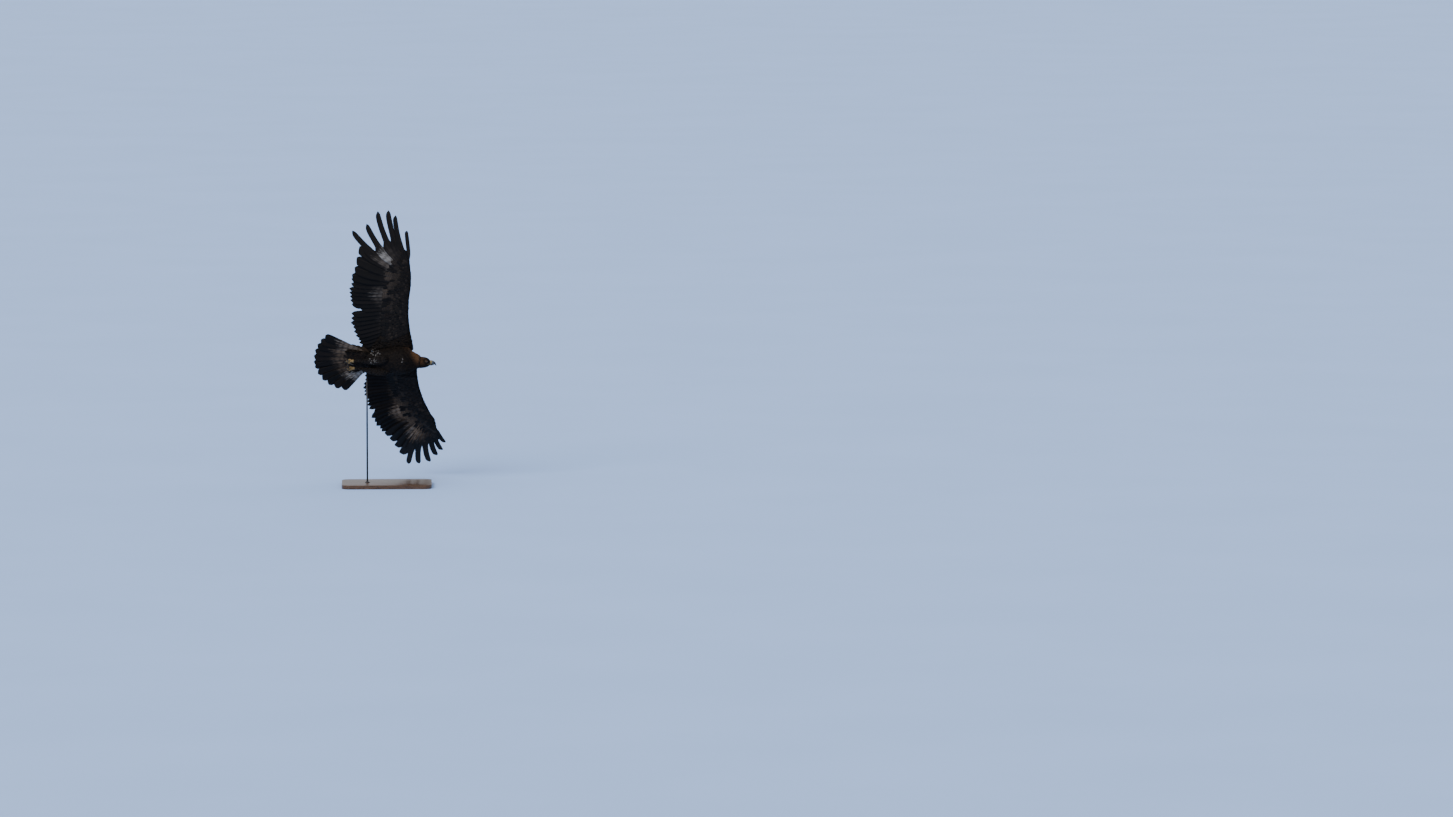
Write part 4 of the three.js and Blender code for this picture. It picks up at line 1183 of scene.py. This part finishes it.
# A shallow dent before the eye and a fuller cheek behind the mouth
lore = np.exp(-((own[:, 0] - 17) / 7) ** 2 - ((own[:, 2] - 1) / 6) ** 2) * (lateral > 8)
cheek = np.exp(-((own[:, 0] + 12) / 12) ** 2 - ((own[:, 2] + 17) / 10) ** 2) * (lateral > 8)
own[:, 1] += np.sign(own[:, 1]) * (1.4 * cheek - 1.6 * lore)
points = placed(own, headFrame)
headSkin.data.vertices.foreach_set("co", points.ravel())
headSkin.data.update()
lie, up, _ = flowOn(headSkin.data, points, spots, lies, 10)
lie = combed(headSkin.data, lie, smooth(own[:, 0], -22, -40))
setField(headSkin.data, "lie", lie)
backward = smooth(own[:, 0], 27, -46)
leafLength = mix(3.4, 22, backward ** 1.35) * 0.001
leafWidth = leafLength * mix(0.5, 0.4, backward)
setField(headSkin.data, "leafSize", np.stack([leafWidth, leafLength, leafLength], -1))
bareEye = smooth(fromEye, 9.2, 10.6) + (lateral < 10)
ridge = (own[:, 2] > eyeZ + 5) & (lateral > 30.5) & (own[:, 0] > -10)
plumed = np.clip(bareEye, 0, 1) * smooth(own[:, 0], 28.5, 26) * smooth(own[:, 0], -51, -44)
plumed = plumed * (1 - 0.9 * ridge)
byMouth = np.zeros(len(own))
for line in head["gape"]:
    x, z, _ = np.array(line).T
    off = np.abs(own[:, 2] - np.interp(own[:, 0], x[::-1], z[::-1]))
    byMouth = np.maximum(byMouth, (off < 1.4) & (own[:, 0] > x[-1] - 1) & (lateral > 6))
setField(headSkin.data, "onHead", plumed * mix(1, 0.22, backward ** 1.5) * (1 - byMouth))
crown = smooth(own[:, 2], -32, 10) * smooth(own[:, 0], 18, -44)
setField(headSkin.data, "gold", np.clip(0.05 + 0.9 * crown, 0, 1))
setField(headSkin.data, "pale", np.zeros(len(own)))
for name in masks:
    setField(headSkin.data, name, np.zeros(len(own)))
setField(bodySkin.data, "onHead", np.zeros(len(skinPoints)))


def joined(keeper, *others):
    bpy.ops.object.select_all(action="DESELECT")
    for piece in (keeper, *others):
        piece.select_set(True)
    bpy.context.view_layer.objects.active = keeper
    bpy.ops.object.join()
    return keeper


skin = joined(bodySkin, headSkin)
skin.data.materials.clear()
skin.data.materials.append(skinMaterial)
skin.data.uv_layers.new(name="skinMap")
bpy.ops.object.mode_set(mode="EDIT")
bpy.ops.mesh.select_all(action="SELECT")
bpy.ops.uv.smart_project(angle_limit=math.radians(66), island_margin=0.002)
bpy.ops.object.mode_set(mode="OBJECT")


# Coat: small closed feathers along +Y, spread over the skin by one tree of geometry nodes
def leafTemplate(name, rows, halfColumns, dome, curl, thickness, fray):
    t, half = np.array(rows, float).T
    v = np.linspace(-1, 1, 2 * halfColumns + 1)
    tt, vv = np.meshgrid(t, v, indexing="ij")
    tt = tt - np.outer(smooth(t, 0.55, 1), np.resize(fray, len(v)))
    x = vv * half[:, None]
    z = curl[0] * tt + curl[1] * tt * tt + dome * (1 - vv * vv) * half[:, None]
    top = np.stack([x, tt, z], -1)
    under = top - (0, 0, thickness) * np.ones_like(top)
    m, k = tt.shape
    index = np.arange(m * k).reshape(m, k)
    other = index.copy()
    other[1:-1, 1:-1] = m * k + np.arange((m - 2) * (k - 2)).reshape(m - 2, k - 2)
    quads = [gridQuads(g)[:, [0, 3, 2, 1]] for g in (index, other)]
    quads[1] = quads[1][:, ::-1]
    every = np.concatenate([top.reshape(-1, 3), under[1:-1, 1:-1].reshape(-1, 3)])
    values = [np.concatenate([g.ravel(), g[1:-1, 1:-1].ravel()]) for g in (tt, vv)]
    flat = np.stack([values[1] / 2, values[0]], -1)
    pile = Pile()
    pile.add(every, quads, [flat[q] for q in quads], along=values[0], across=values[1])
    leaf = pile.build(name, bakeMap=True)
    leaf.data.uv_layers["OFBake"].name = "leafMap"
    return leaf


patchSize = 0.003      # a feather's share of the map, at its root's place


def coatTree():
    tree = bpy.data.node_groups.new("featherCoatTree", "GeometryNodeTree")
    kinds = {"Geometry": "Geometry", "Feather": "Object", "Mask": "String", "Spacing": "Float",
             "Density": "Float", "Seed": "Int", "Lift": "Float", "Stray": "Float", "Material": "Material"}
    for name, kind in kinds.items():
        tree.interface.new_socket(name, in_out="INPUT", socket_type="NodeSocket" + kind)
    tree.interface.new_socket("Geometry", in_out="OUTPUT", socket_type="NodeSocketGeometry")
    add = partial(addNode, tree)
    given = add("NodeGroupInput").outputs
    mask = add("GeometryNodeInputNamedAttribute", {"data_type": "FLOAT"}, {"Name": given["Mask"]})
    scattered = add("GeometryNodeDistributePointsOnFaces", {"distribute_method": "POISSON"}, {
        "Mesh": given["Geometry"], "Distance Min": given["Spacing"], "Density Max": given["Density"],
        "Density Factor": mask.outputs["Attribute"], "Seed": given["Seed"]})
    shade = add("FunctionNodeRandomValue", {"data_type": "FLOAT"}, {"Seed": 11})
    shaded = add("GeometryNodeStoreNamedAttribute", {"data_type": "FLOAT", "domain": "POINT"}, {
        "Geometry": scattered.outputs["Points"], "Name": "shade", "Value": shade.outputs["Value"]})
    lie = add("GeometryNodeInputNamedAttribute", {"data_type": "FLOAT_VECTOR"}, {"Name": "lie"})
    up = add("FunctionNodeAlignRotationToVector", {"axis": "Z"}, {"Vector": scattered.outputs["Normal"]})
    back = add("FunctionNodeAlignRotationToVector", {"axis": "Y", "pivot_axis": "Z"}, {
        "Rotation": up.outputs["Rotation"], "Vector": lie.outputs["Attribute"]})
    stray = add("FunctionNodeRandomValue", {"data_type": "FLOAT_VECTOR"}, {
        "Min": (-0.35, -1.0, -1.0), "Max": (0.35, 1.0, 1.0), "Seed": 12})
    strayed = add("ShaderNodeVectorMath", {"operation": "SCALE"}, {
        0: stray.outputs["Value"], "Scale": given["Stray"]})
    lift = add("ShaderNodeCombineXYZ", {}, {"X": given["Lift"]})
    tilt = add("ShaderNodeVectorMath", {"operation": "ADD"}, {0: strayed.outputs[0], 1: lift.outputs[0]})
    tilted = add("FunctionNodeEulerToRotation", {}, {"Euler": tilt.outputs[0]})
    turnedRound = add("FunctionNodeRotateRotation", {"rotation_space": "LOCAL"}, {
        "Rotation": back.outputs["Rotation"], "Rotate By": tilted.outputs["Rotation"]})
    leafSize = add("GeometryNodeInputNamedAttribute", {"data_type": "FLOAT_VECTOR"}, {"Name": "leafSize"})
    vary = add("FunctionNodeRandomValue", {"data_type": "FLOAT"}, {2: 0.82, 3: 1.18, "Seed": 13})
    scaled = add("ShaderNodeVectorMath", {"operation": "SCALE"}, {
        0: leafSize.outputs["Attribute"], "Scale": vary.outputs[1]})
    feather = add("GeometryNodeObjectInfo", {}, {"Object": given["Feather"]})
    grown = add("GeometryNodeInstanceOnPoints", {}, {
        "Points": shaded.outputs["Geometry"], "Instance": feather.outputs["Geometry"],
        "Rotation": turnedRound.outputs["Rotation"], "Scale": scaled.outputs[0]})
    real = add("GeometryNodeRealizeInstances", {}, {"Geometry": grown.outputs["Instances"]})
    rootMap = add("GeometryNodeInputNamedAttribute", {"data_type": "FLOAT_VECTOR"}, {"Name": "skinMap"})
    leafMap = add("GeometryNodeInputNamedAttribute", {"data_type": "FLOAT_VECTOR"}, {"Name": "leafMap"})
    small = add("ShaderNodeVectorMath", {"operation": "SCALE"}, {
        0: leafMap.outputs["Attribute"], "Scale": patchSize})
    mapped = add("ShaderNodeVectorMath", {"operation": "ADD"}, {
        0: rootMap.outputs["Attribute"], 1: small.outputs[0]})
    stored = add("GeometryNodeStoreNamedAttribute", {"data_type": "FLOAT2", "domain": "CORNER"}, {
        "Geometry": real.outputs["Geometry"], "Name": "OFBake", "Value": mapped.outputs[0]})
    painted = add("GeometryNodeSetMaterial", {}, {
        "Geometry": stored.outputs["Geometry"], "Material": given["Material"]})
    out = add("NodeGroupOutput")
    tree.links.new(painted.outputs["Geometry"], out.inputs["Geometry"])
    return tree


coats = {      # feather, mask, spacing in metres, most to the square metre, lift and stray in radians
    "coat_breast": ("broad", "onBreast", 0.0058, 120000, 0.02, 0.15),
    "coat_back": ("broad", "onBack", 0.0058, 120000, 0.02, 0.15),
    "coat_neck": ("lance", "onNeck", 0.0025, 600000, 0.03, 0.17),
    "coat_legs": ("soft", "onLegs", 0.0036, 300000, 0.04, 0.2),
    "coat_wings": ("small", "onWing", 0.0044, 120000, 0.0, 0.15),
    "coat_head": ("point", "onHead", 0.00135, 1500000, 0.02, 0.18),
}
leafShapes = {      # length and half width, columns to a side, dome, curl, thickness, fray of the tip
    "broad": ([[0, 0.1], [0.2, 0.34], [0.5, 0.5], [0.8, 0.46], [1, 0.22]], 2, 0.1, (0.15, -0.05), 0.012,
              (0.13, 0.03, 0.0, 0.07, 0.16)),
    "lance": ([[0, 0.12], [0.25, 0.42], [0.55, 0.44], [0.8, 0.28], [1, 0.03]], 1, 0.16, (0.16, -0.05), 0.014,
              (0.05, 0.0, 0.09)),
    "soft": ([[0, 0.1], [0.3, 0.42], [0.7, 0.42], [1, 0.16]], 1, 0.12, (0.16, -0.06), 0.014,
             (0.12, 0.0, 0.17)),
    "small": ([[0, 0.14], [0.35, 0.46], [0.75, 0.46], [1, 0.16]], 1, 0.12, (0.1, -0.04), 0.02,
              (0.12, 0.0, 0.15)),
    "point": ([[0, 0.14], [0.35, 0.46], [0.7, 0.36], [1, 0.06]], 1, 0.16, (0.17, -0.06), 0.02,
              (0.06, 0.0, 0.1)),
}
leaves = {name: leafTemplate("leaf" + name.capitalize(), *shape) for name, shape in leafShapes.items()}
coatSlots = {"coat_neck": "nape", "coat_head": "nape"}
coatTreeMade = coatTree()
inputSockets = [item for item in coatTreeMade.interface.items_tree if item.in_out == "INPUT"]
socketOf = {item.name: item.identifier for item in inputSockets}
for number, (name, (leaf, mask, spacing, density, lift, stray)) in enumerate(coats.items()):
    modifier = skin.modifiers.new("coat", "NODES")
    modifier.node_group = coatTreeMade
    values = {"Feather": leaves[leaf], "Mask": mask, "Spacing": spacing, "Density": density,
              "Seed": 31 + number, "Lift": lift, "Stray": stray, "Material": coatMaterial}
    for key, value in values.items():
        modifier[socketOf[key]] = value
    skin.update_tag()
    evaluated = skin.evaluated_get(bpy.context.evaluated_depsgraph_get())
    mesh = bpy.data.meshes.new_from_object(evaluated)
    mesh.name = name
    skin.modifiers.remove(modifier)
    for key in [a.name for a in mesh.attributes]:
        if key in ("lie", "leafSize", "skinMap", "leafMap", "onHead", *masks):
            mesh.attributes.remove(mesh.attributes[key])
    piece = bpy.data.objects.new(name, mesh)
    bpy.context.scene.collection.objects.link(piece)
    finish(piece, coatSlots.get(name, "plumage"))
    print(name, len(mesh.polygons))
for leaf in leaves.values():
    bpy.data.objects.remove(leaf)
for key in ("lie", "leafSize", "onHead", *masks):
    skin.data.attributes.remove(skin.data.attributes[key])
skin.data.uv_layers["skinMap"].name = "OFBake"
finish(skin, "plumage", "torso", "neck", "head", "wing_right", "wing_left", "tail", "thigh_right",
       "thigh_left", "shank_right", "shank_left")

# Bill, cere and the line of the mouth
billTop, billEdge, billWidth = (curveThrough(head[key]) for key in ("billTop", "billEdge", "billWidth"))
lowerDepth = curveThrough(head["lowerDepth"])


def billPlace(first, last, grow=0.0):
    def place(t, angle):
        x = mix(first, last, t)
        width = billWidth(x)[..., 0] + grow
        low, high = billEdge(x)[..., 0] - grow, billTop(x)[..., 0] + grow
        up = np.sin(angle)
        across = width * np.cos(angle) * (1 - 0.22 * np.maximum(up, 0) ** 2)
        return np.stack([head["billStart"] + x, across, mix(low, high, (up + 1) / 2)], -1)

    return place


def lowerPlace(t, angle):
    x = mix(-6, 30, t)
    top = np.maximum(billEdge(x)[..., 0], -12) - 0.5
    across = (billWidth(x)[..., 0] - 1.2) * 0.92 * np.cos(angle)
    height = mix(lowerDepth(x)[..., 0], top, (np.sin(angle) + 1) / 2)
    return np.stack([head["billStart"] + x, across, height], -1)


def simplePiece(name, slot, material, nodes, shells, stain=0.0):
    pile = Pile()
    for (place, around, along), own in shells:
        points, faces = ringShell(place, around, along)
        grow = np.concatenate([np.repeat(np.linspace(0, 1, along + 1), around), [0, 1]])
        pile.add(placed(points, own), faces, along=grow, stain=stain)
    return finish(facesOut(pile.build(name, material)), slot, *nodes)


print("bill")
topShell = ((billPlace(10.5, head["billLength"]), 64, 72), headFrame)
simplePiece("bill_top", "horn", billMaterial, ["bill_upper"], [topShell])
simplePiece("bill_under", "horn", billMaterial, ["bill_lower"], [((lowerPlace, 56, 48), headFrame)])


def cereShape(t, angle):      # its points, and how deep in a nostril each lies
    x = mix(-5, head["cereLength"], t)
    base = billPlace(-5, head["cereLength"])(t, angle)
    centre = (billTop(x)[..., 0] + billEdge(x)[..., 0]) / 2
    swell = 1.25 * np.clip(4 * t * (1 - t), 0, 1) ** 0.5 * (1 - 0.35 * t)
    y, z = base[..., 1], base[..., 2] - centre
    away = np.maximum(np.hypot(y, z), 1e-6)
    base[..., 1] += swell * y / away
    base[..., 2] += swell * z / away
    nx, nz = head["nostril"]
    halfAcross, halfAlong = head["nostrilHalf"]
    lean = math.radians(head["nostrilLean"])
    dx, dz = base[..., 0] - nx, base[..., 2] - nz
    u = dx * math.cos(lean) - dz * math.sin(lean)
    w = dx * math.sin(lean) + dz * math.cos(lean)
    away = np.sqrt((u / halfAcross) ** 2 + (w / halfAlong) ** 2)
    hole = (1 - smooth(away, 0.75, 1.15)) * (np.abs(base[..., 1]) > 4)
    rim = np.exp(-((away - 1.35) / 0.25) ** 2) * (np.abs(base[..., 1]) > 4)
    base[..., 1] += np.sign(base[..., 1]) * (0.35 * rim - head["nostrilDepth"] * hole)
    return base, hole


def cerePlace(t, angle):
    return cereShape(t, angle)[0]


pile = Pile()
hole = cereShape(*ringGrid(200, 72))[1]
points, faces = ringShell(cerePlace, 200, 72)
# The nostril hole is also painted dark here: painted shade in the recess
pile.add(placed(points, headFrame), faces, stain=np.concatenate([hole.ravel(), [0, 0]]))
finish(facesOut(pile.build("cere_soft", cereMaterial)), "cere", "cere")
gapes = []
for side, way in sides.items():
    for line in head["gape"]:
        rows = []
        for x, z, r in line:
            if x < 29:      # on the face, and further forward on the bill
                out = skullSide(min(x, 28.5), z)
            else:
                out = float(billWidth(x - head["billStart"])[0]) * 0.97
            rows.append([x, way * (out - 0.1), z, r * 0.8, r])
        gapes.append(((limbPlace(rows), 20, 48), headFrame))
simplePiece("gape_rims", "cere", cereMaterial, [], gapes, stain=0.5)

# Eyes: the pole looks outwards, ring is 1 at the iris's edge
eyeRings, eyeAround = 56, 64
theta = np.linspace(0, math.pi, eyeRings + 1)[1:-1]
th, an = np.meshgrid(theta, turnsOf(eyeAround), indexing="ij")
bulge = 1 + 0.06 * np.exp(-(th / 0.5) ** 2)
ring = np.concatenate([(np.sin(th) * eyeRadius / head["iris"] + (th > math.pi / 2) * 5).ravel(), [0, 6]])
for side, way in sides.items():
    ball = np.stack([np.sin(th) * np.cos(an), way * np.cos(th) * bulge, np.sin(th) * np.sin(an)], -1)
    ball = ball * eyeRadius
    poles = np.array([[0, way * eyeRadius * 1.06, 0], [0, -way * eyeRadius, 0]])
    points = headed(np.concatenate([ball.reshape(-1, 3), poles]), turn("Z", -head["eyeTurn"] * way))
    points += (eyeX, eyeY * way, eyeZ)
    pile = Pile()
    pile.add(placed(points, headFrame), ringFaces(eyeAround, eyeRings - 2),
             ring=ring, around=np.concatenate([(an / math.pi).ravel(), [0, 0]]))
    finish(facesOut(pile.build("eyeball_" + side, eyeMaterial())), "eye", "eye_" + side)


def lidPlace(side):
    way = sides[side]

    def place(t, angle):      # t runs round the eye, angle round the rim's own section
        around = t * 2 * math.pi
        reach = 9.3 + 2.3 * np.cos(angle)
        corner = np.abs(np.cos(around)) ** 3
        x = eyeX + 0.6 + reach * np.cos(around) * (1.02 + 0.05 * corner)
        z = eyeZ + reach * np.sin(around) * 0.93 - 0.8 * np.cos(around)
        share = np.clip((reach - 7.0) / 4.6, 0, 1)
        y = mix(32.6, 29.2, share ** 1.2) + 0.75 * np.sin(angle) - 0.045 * np.abs(x - eyeX) * share
        y -= 0.07 * np.clip(x - eyeX, 0, 20)
        return np.stack([x, way * y, z], -1)

    return place


def hoop(place, around, along):      # a closed ring without ends
    points = place(*np.meshgrid(np.arange(along) / along, turnsOf(around), indexing="ij")).reshape(-1, 3)
    index = np.arange(along * around).reshape(along, around)
    index = np.concatenate([index, index[:1]])
    index = np.concatenate([index, index[:, :1]], axis=1)
    return points, [gridQuads(index)[:, [0, 3, 2, 1]]]


pile = Pile()
for side in sides:
    points, faces = hoop(lidPlace(side), 20, 96)
    pile.add(placed(points, headFrame), faces, along=0.5, stain=0.3)
finish(facesOut(pile.build("eye_rims", lidMaterial)), "cere")

# Feet and claws
feet = {
    "place": (-272, 30, -52),
    "soleRadius": 11.5,
    "toes": {      # turn and lift in degrees, length, claw
        "inner": (-24, -8, 38, 34),
        "middle": (0, 2, 50, 30),
        "outer": (22, -6, 38, 26),
        "hind": (4, -46, 27, 42),
    },
    "toeRadius": 8,
    "clawBend": 95,
    "clawThickness": (5.4, 0.4),
    "scutes": 7,
    "voxel": 0.00095,      # in metres
}


def toeLine(toe, side):
    turnAway, lift, length, claw = feet["toes"][toe]
    start = np.array(feet["place"]) * (1, sides[side], 1)
    heading = math.radians(turnAway) * sides[side]

    def step(distance, rise):
        flat = math.cos(rise) * distance
        return np.array([-math.cos(heading) * flat, math.sin(heading) * flat, math.sin(rise) * distance])

    knuckle = start + step(length * 0.6, math.radians(lift + 10))
    return start, knuckle, knuckle + step(length * 0.45, math.radians(lift - 40)), heading, claw


def toePlace(toe, side):
    start, knuckle, tip, _, _ = toeLine(toe, side)
    r = feet["toeRadius"]
    plain = limbPlace([[*start, r * 1.1, r * 1.1], [*mix(start, knuckle, 0.55), r * 0.86, r * 0.84],
                       [*knuckle, r, r], [*mix(knuckle, tip, 0.5), r * 0.78, r * 0.8],
                       [*tip, r * 0.82, r * 0.82]])

    def place(t, angle):
        base = plain(t, angle)
        middle = base.mean(1, keepdims=True)
        top = np.clip(np.sin(angle), 0, 1)
        under = np.clip(-np.sin(angle), 0, 1)
        scute = 0.06 * top ** 0.7 * (1 - np.abs(((t * feet["scutes"] * 1.6) % 1) * 2 - 1) ** 4)
        pads = 0.16 * under * (0.5 - 0.5 * np.cos(t * 2 * math.pi * 2.5))
        return middle + (base - middle) * (1 + scute + pads - 0.04)[..., None]

    return place


def clawPlace(toe, side):
    start, knuckle, tip, heading, length = toeLine(toe, side)
    along = (tip - knuckle) / np.linalg.norm(tip - knuckle)
    across = np.array([math.sin(heading), math.cos(heading), 0])
    bend = math.radians(feet["clawBend"])
    radius = length / bend
    inward = np.cross(across, along)
    inward /= np.linalg.norm(inward)
    inward = -inward if inward[2] > 0 else inward
    centre = tip + inward * radius

    def place(t, angle):
        turnNow = (bend * t)[..., None]
        out = -inward * np.cos(turnNow) + along * np.sin(turnNow)
        thick = mix(*feet["clawThickness"], t ** 1.15)
        groove = 1 - 0.18 * np.clip(-np.cos(angle), 0, 1) ** 2
        across3 = (thick * 0.8 * np.sin(angle))[..., None] * across
        return centre + out * (radius + thick * np.cos(angle) * groove)[..., None] + across3

    return place


def sphere(centre, radius):
    def place(t, angle):
        ring = np.sin(t * math.pi) * 0.999 + 0.001
        away = np.stack([np.cos(t * math.pi), ring * np.cos(angle), ring * np.sin(angle)], -1)
        return np.array(centre) + radius * away

    return place


print("feet")
for side in sides:
    pile = Pile()
    centre = np.array(feet["place"]) * (1, sides[side], 1)
    for place in [sphere(centre, feet["soleRadius"])] + [toePlace(toe, side) for toe in feet["toes"]]:
        points, faces = ringShell(place, 36, 60)
        pile.add(placed(points), faces)
    foot = remeshed(pile.build("toes_" + side), feet["voxel"], 2)
    setField(foot.data, "stain", np.zeros(len(foot.data.vertices)))
    foot.data.materials.clear()
    foot.data.materials.append(footMaterial)
    finish(foot, "foot", "foot_" + side)
    for toe in feet["toes"]:
        simplePiece(f"talon_{toe}_{side}", "horn", clawMaterial, [f"claw_{toe}_{side}"],
                    [((clawPlace(toe, side), 28, 40), birdFrame)])

# Stand: a base with round corners and one rod up into the left flank
stand = {
    "size": (640, 460, 28),
    "centre": (-40, 60),
    "corner": 60,
    "bevel": 4,
    "rod": (-178, 34),
    "rodRadius": 6,
    "rodEnds": (28.3, 879.6),
    "collar": [(0, 15), (2.2, 16), (4.5, 15.2), (7, 9.5), (12, 7.6), (13, 6.2)],      # height, radius
}


def basePlace(rings):
    def place(t, angle):
        height, inset = (np.interp(t, rings[:, 0], rings[:, k]) for k in (1, 2))
        halfX, halfY = stand["size"][0] / 2 - inset, stand["size"][1] / 2 - inset
        corner = stand["corner"] - inset
        cx, cy = np.cos(angle), np.sin(angle)
        x = np.sign(cx) * (halfX - corner) + corner * cx
        y = np.sign(cy) * (halfY - corner) + corner * cy
        return np.stack([stand["centre"][0] + x, stand["centre"][1] + y, height], -1)

    return place


print("stand")
arc = [0.5 * math.pi * k / 6 for k in range(7)]
bevel = stand["bevel"]
# Height and inset of the rounded lower edge, which the upper one mirrors
low = [(bevel - bevel * math.sin(math.pi / 2 - a), bevel - bevel * math.cos(math.pi / 2 - a)) for a in arc]
heights = [h for h, _ in low] + [stand["size"][2] - h for h, _ in reversed(low)]
insets = [i for _, i in low] + [i for _, i in reversed(low)]
count = len(heights) - 1
rings = np.array([[k / count, heights[k], insets[k]] for k in range(count + 1)])
boardShell = ((basePlace(rings), 96, count), level)
simplePiece("base_board", "base_wood", woodMaterial(), ["stand_base"], [boardShell])


def turnedPlace(outline, centre):      # a shape turned about an upright axis
    table = np.array(outline, float)
    spots = np.linspace(0, 1, len(table))

    def place(t, angle):
        height, radius = (np.interp(t, spots, table[:, k]) for k in (0, 1))
        return np.stack([centre[0] + radius * np.cos(angle), centre[1] + radius * np.sin(angle), height], -1)

    return place


rodLow, rodHigh = stand["rodEnds"]
rodOutline = [(rodLow, stand["rodRadius"]), (rodHigh, stand["rodRadius"])]
collarOutline = [(rodLow + h, r) for h, r in stand["collar"]]
steel = steelMaterial()
for name, nodes, outline, around in (
        ("rod_round", ["stand_rod"], rodOutline, 40), ("rod_collar", [], collarOutline, 48)):
    shell = ((turnedPlace(outline, stand["rod"]), around, len(outline) - 1), level)
    simplePiece(name, "rod_steel", steel, nodes, [shell])

# Floor, light and camera
print("studio")
studio = {
    "floorHalf": 600,
    "floorColour": (0.43, 0.61, 0.97),
    "world": (0.86, 0.91, 1.0),
    "worldStrength": 0.9,
    "sun": 2.4,
    "lens": 200,
    "distance": 57.3,
    "elevation": 5,
    "aim": (2.3732, -0.3531),      # to the right of and above the bird's middle, in metres in its own plane
}
half = studio["floorHalf"]
pile = Pile()
pile.add([[-half, -half, 0], [half, -half, 0], [half, half, 0], [-half, half, 0]], [np.array([[0, 1, 2, 3]])])
floorMaterial, s = newMaterial("paleFloor", Specular_IOR_Level=0.1)
soft = s.noise(s.place(), 0.6, 3)
darker = tuple(0.96 * c for c in studio["floorColour"])
floorColour = soft.between(0.2, 0.8).blend(darker, studio["floorColour"])
connect(floorMaterial, Base_Color=floorColour, Roughness=0.9 + soft * 0.05)
pile.build("floor", floorMaterial)

world = bpy.data.worlds.new("studioWorld")
bpy.context.scene.world = world
world.use_nodes = True
background = world.node_tree.nodes["Background"]
background.inputs["Color"].default_value = (*studio["world"], 1)
background.inputs["Strength"].default_value = studio["worldStrength"]


def sunLight(name, strength, angle, towards):
    light = bpy.data.lights.new(name, "SUN")
    light.energy = strength
    light.angle = math.radians(angle)
    lamp = bpy.data.objects.new(name, light)
    lamp.rotation_euler = Vector(towards).to_track_quat("-Z", "Y").to_euler()
    bpy.context.scene.collection.objects.link(lamp)


sunLight("keyLight", studio["sun"], 30, (0.45, 0.75, -0.6))

camera = bpy.data.cameras.new("photoCamera")
camera.lens = studio["lens"]
camera.sensor_width = 36
camera.clip_start = 0.5
camera.clip_end = 3000
eye = bpy.data.objects.new("photoCamera", camera)
tiltDown = math.radians(studio["elevation"])
middle = Vector((0, 0, pose["bodyHeight"] * 0.001))
eye.location = middle + studio["distance"] * Vector((0, -math.cos(tiltDown), math.sin(tiltDown)))
right, above = studio["aim"]
aim = middle + right * Vector((1, 0, 0)) + above * Vector((0, math.sin(tiltDown), math.cos(tiltDown)))
eye.rotation_euler = (aim - eye.location).to_track_quat("-Z", "Y").to_euler()
bpy.context.scene.collection.objects.link(eye)
bpy.context.scene.camera = eye

bpy.context.view_layer.update()
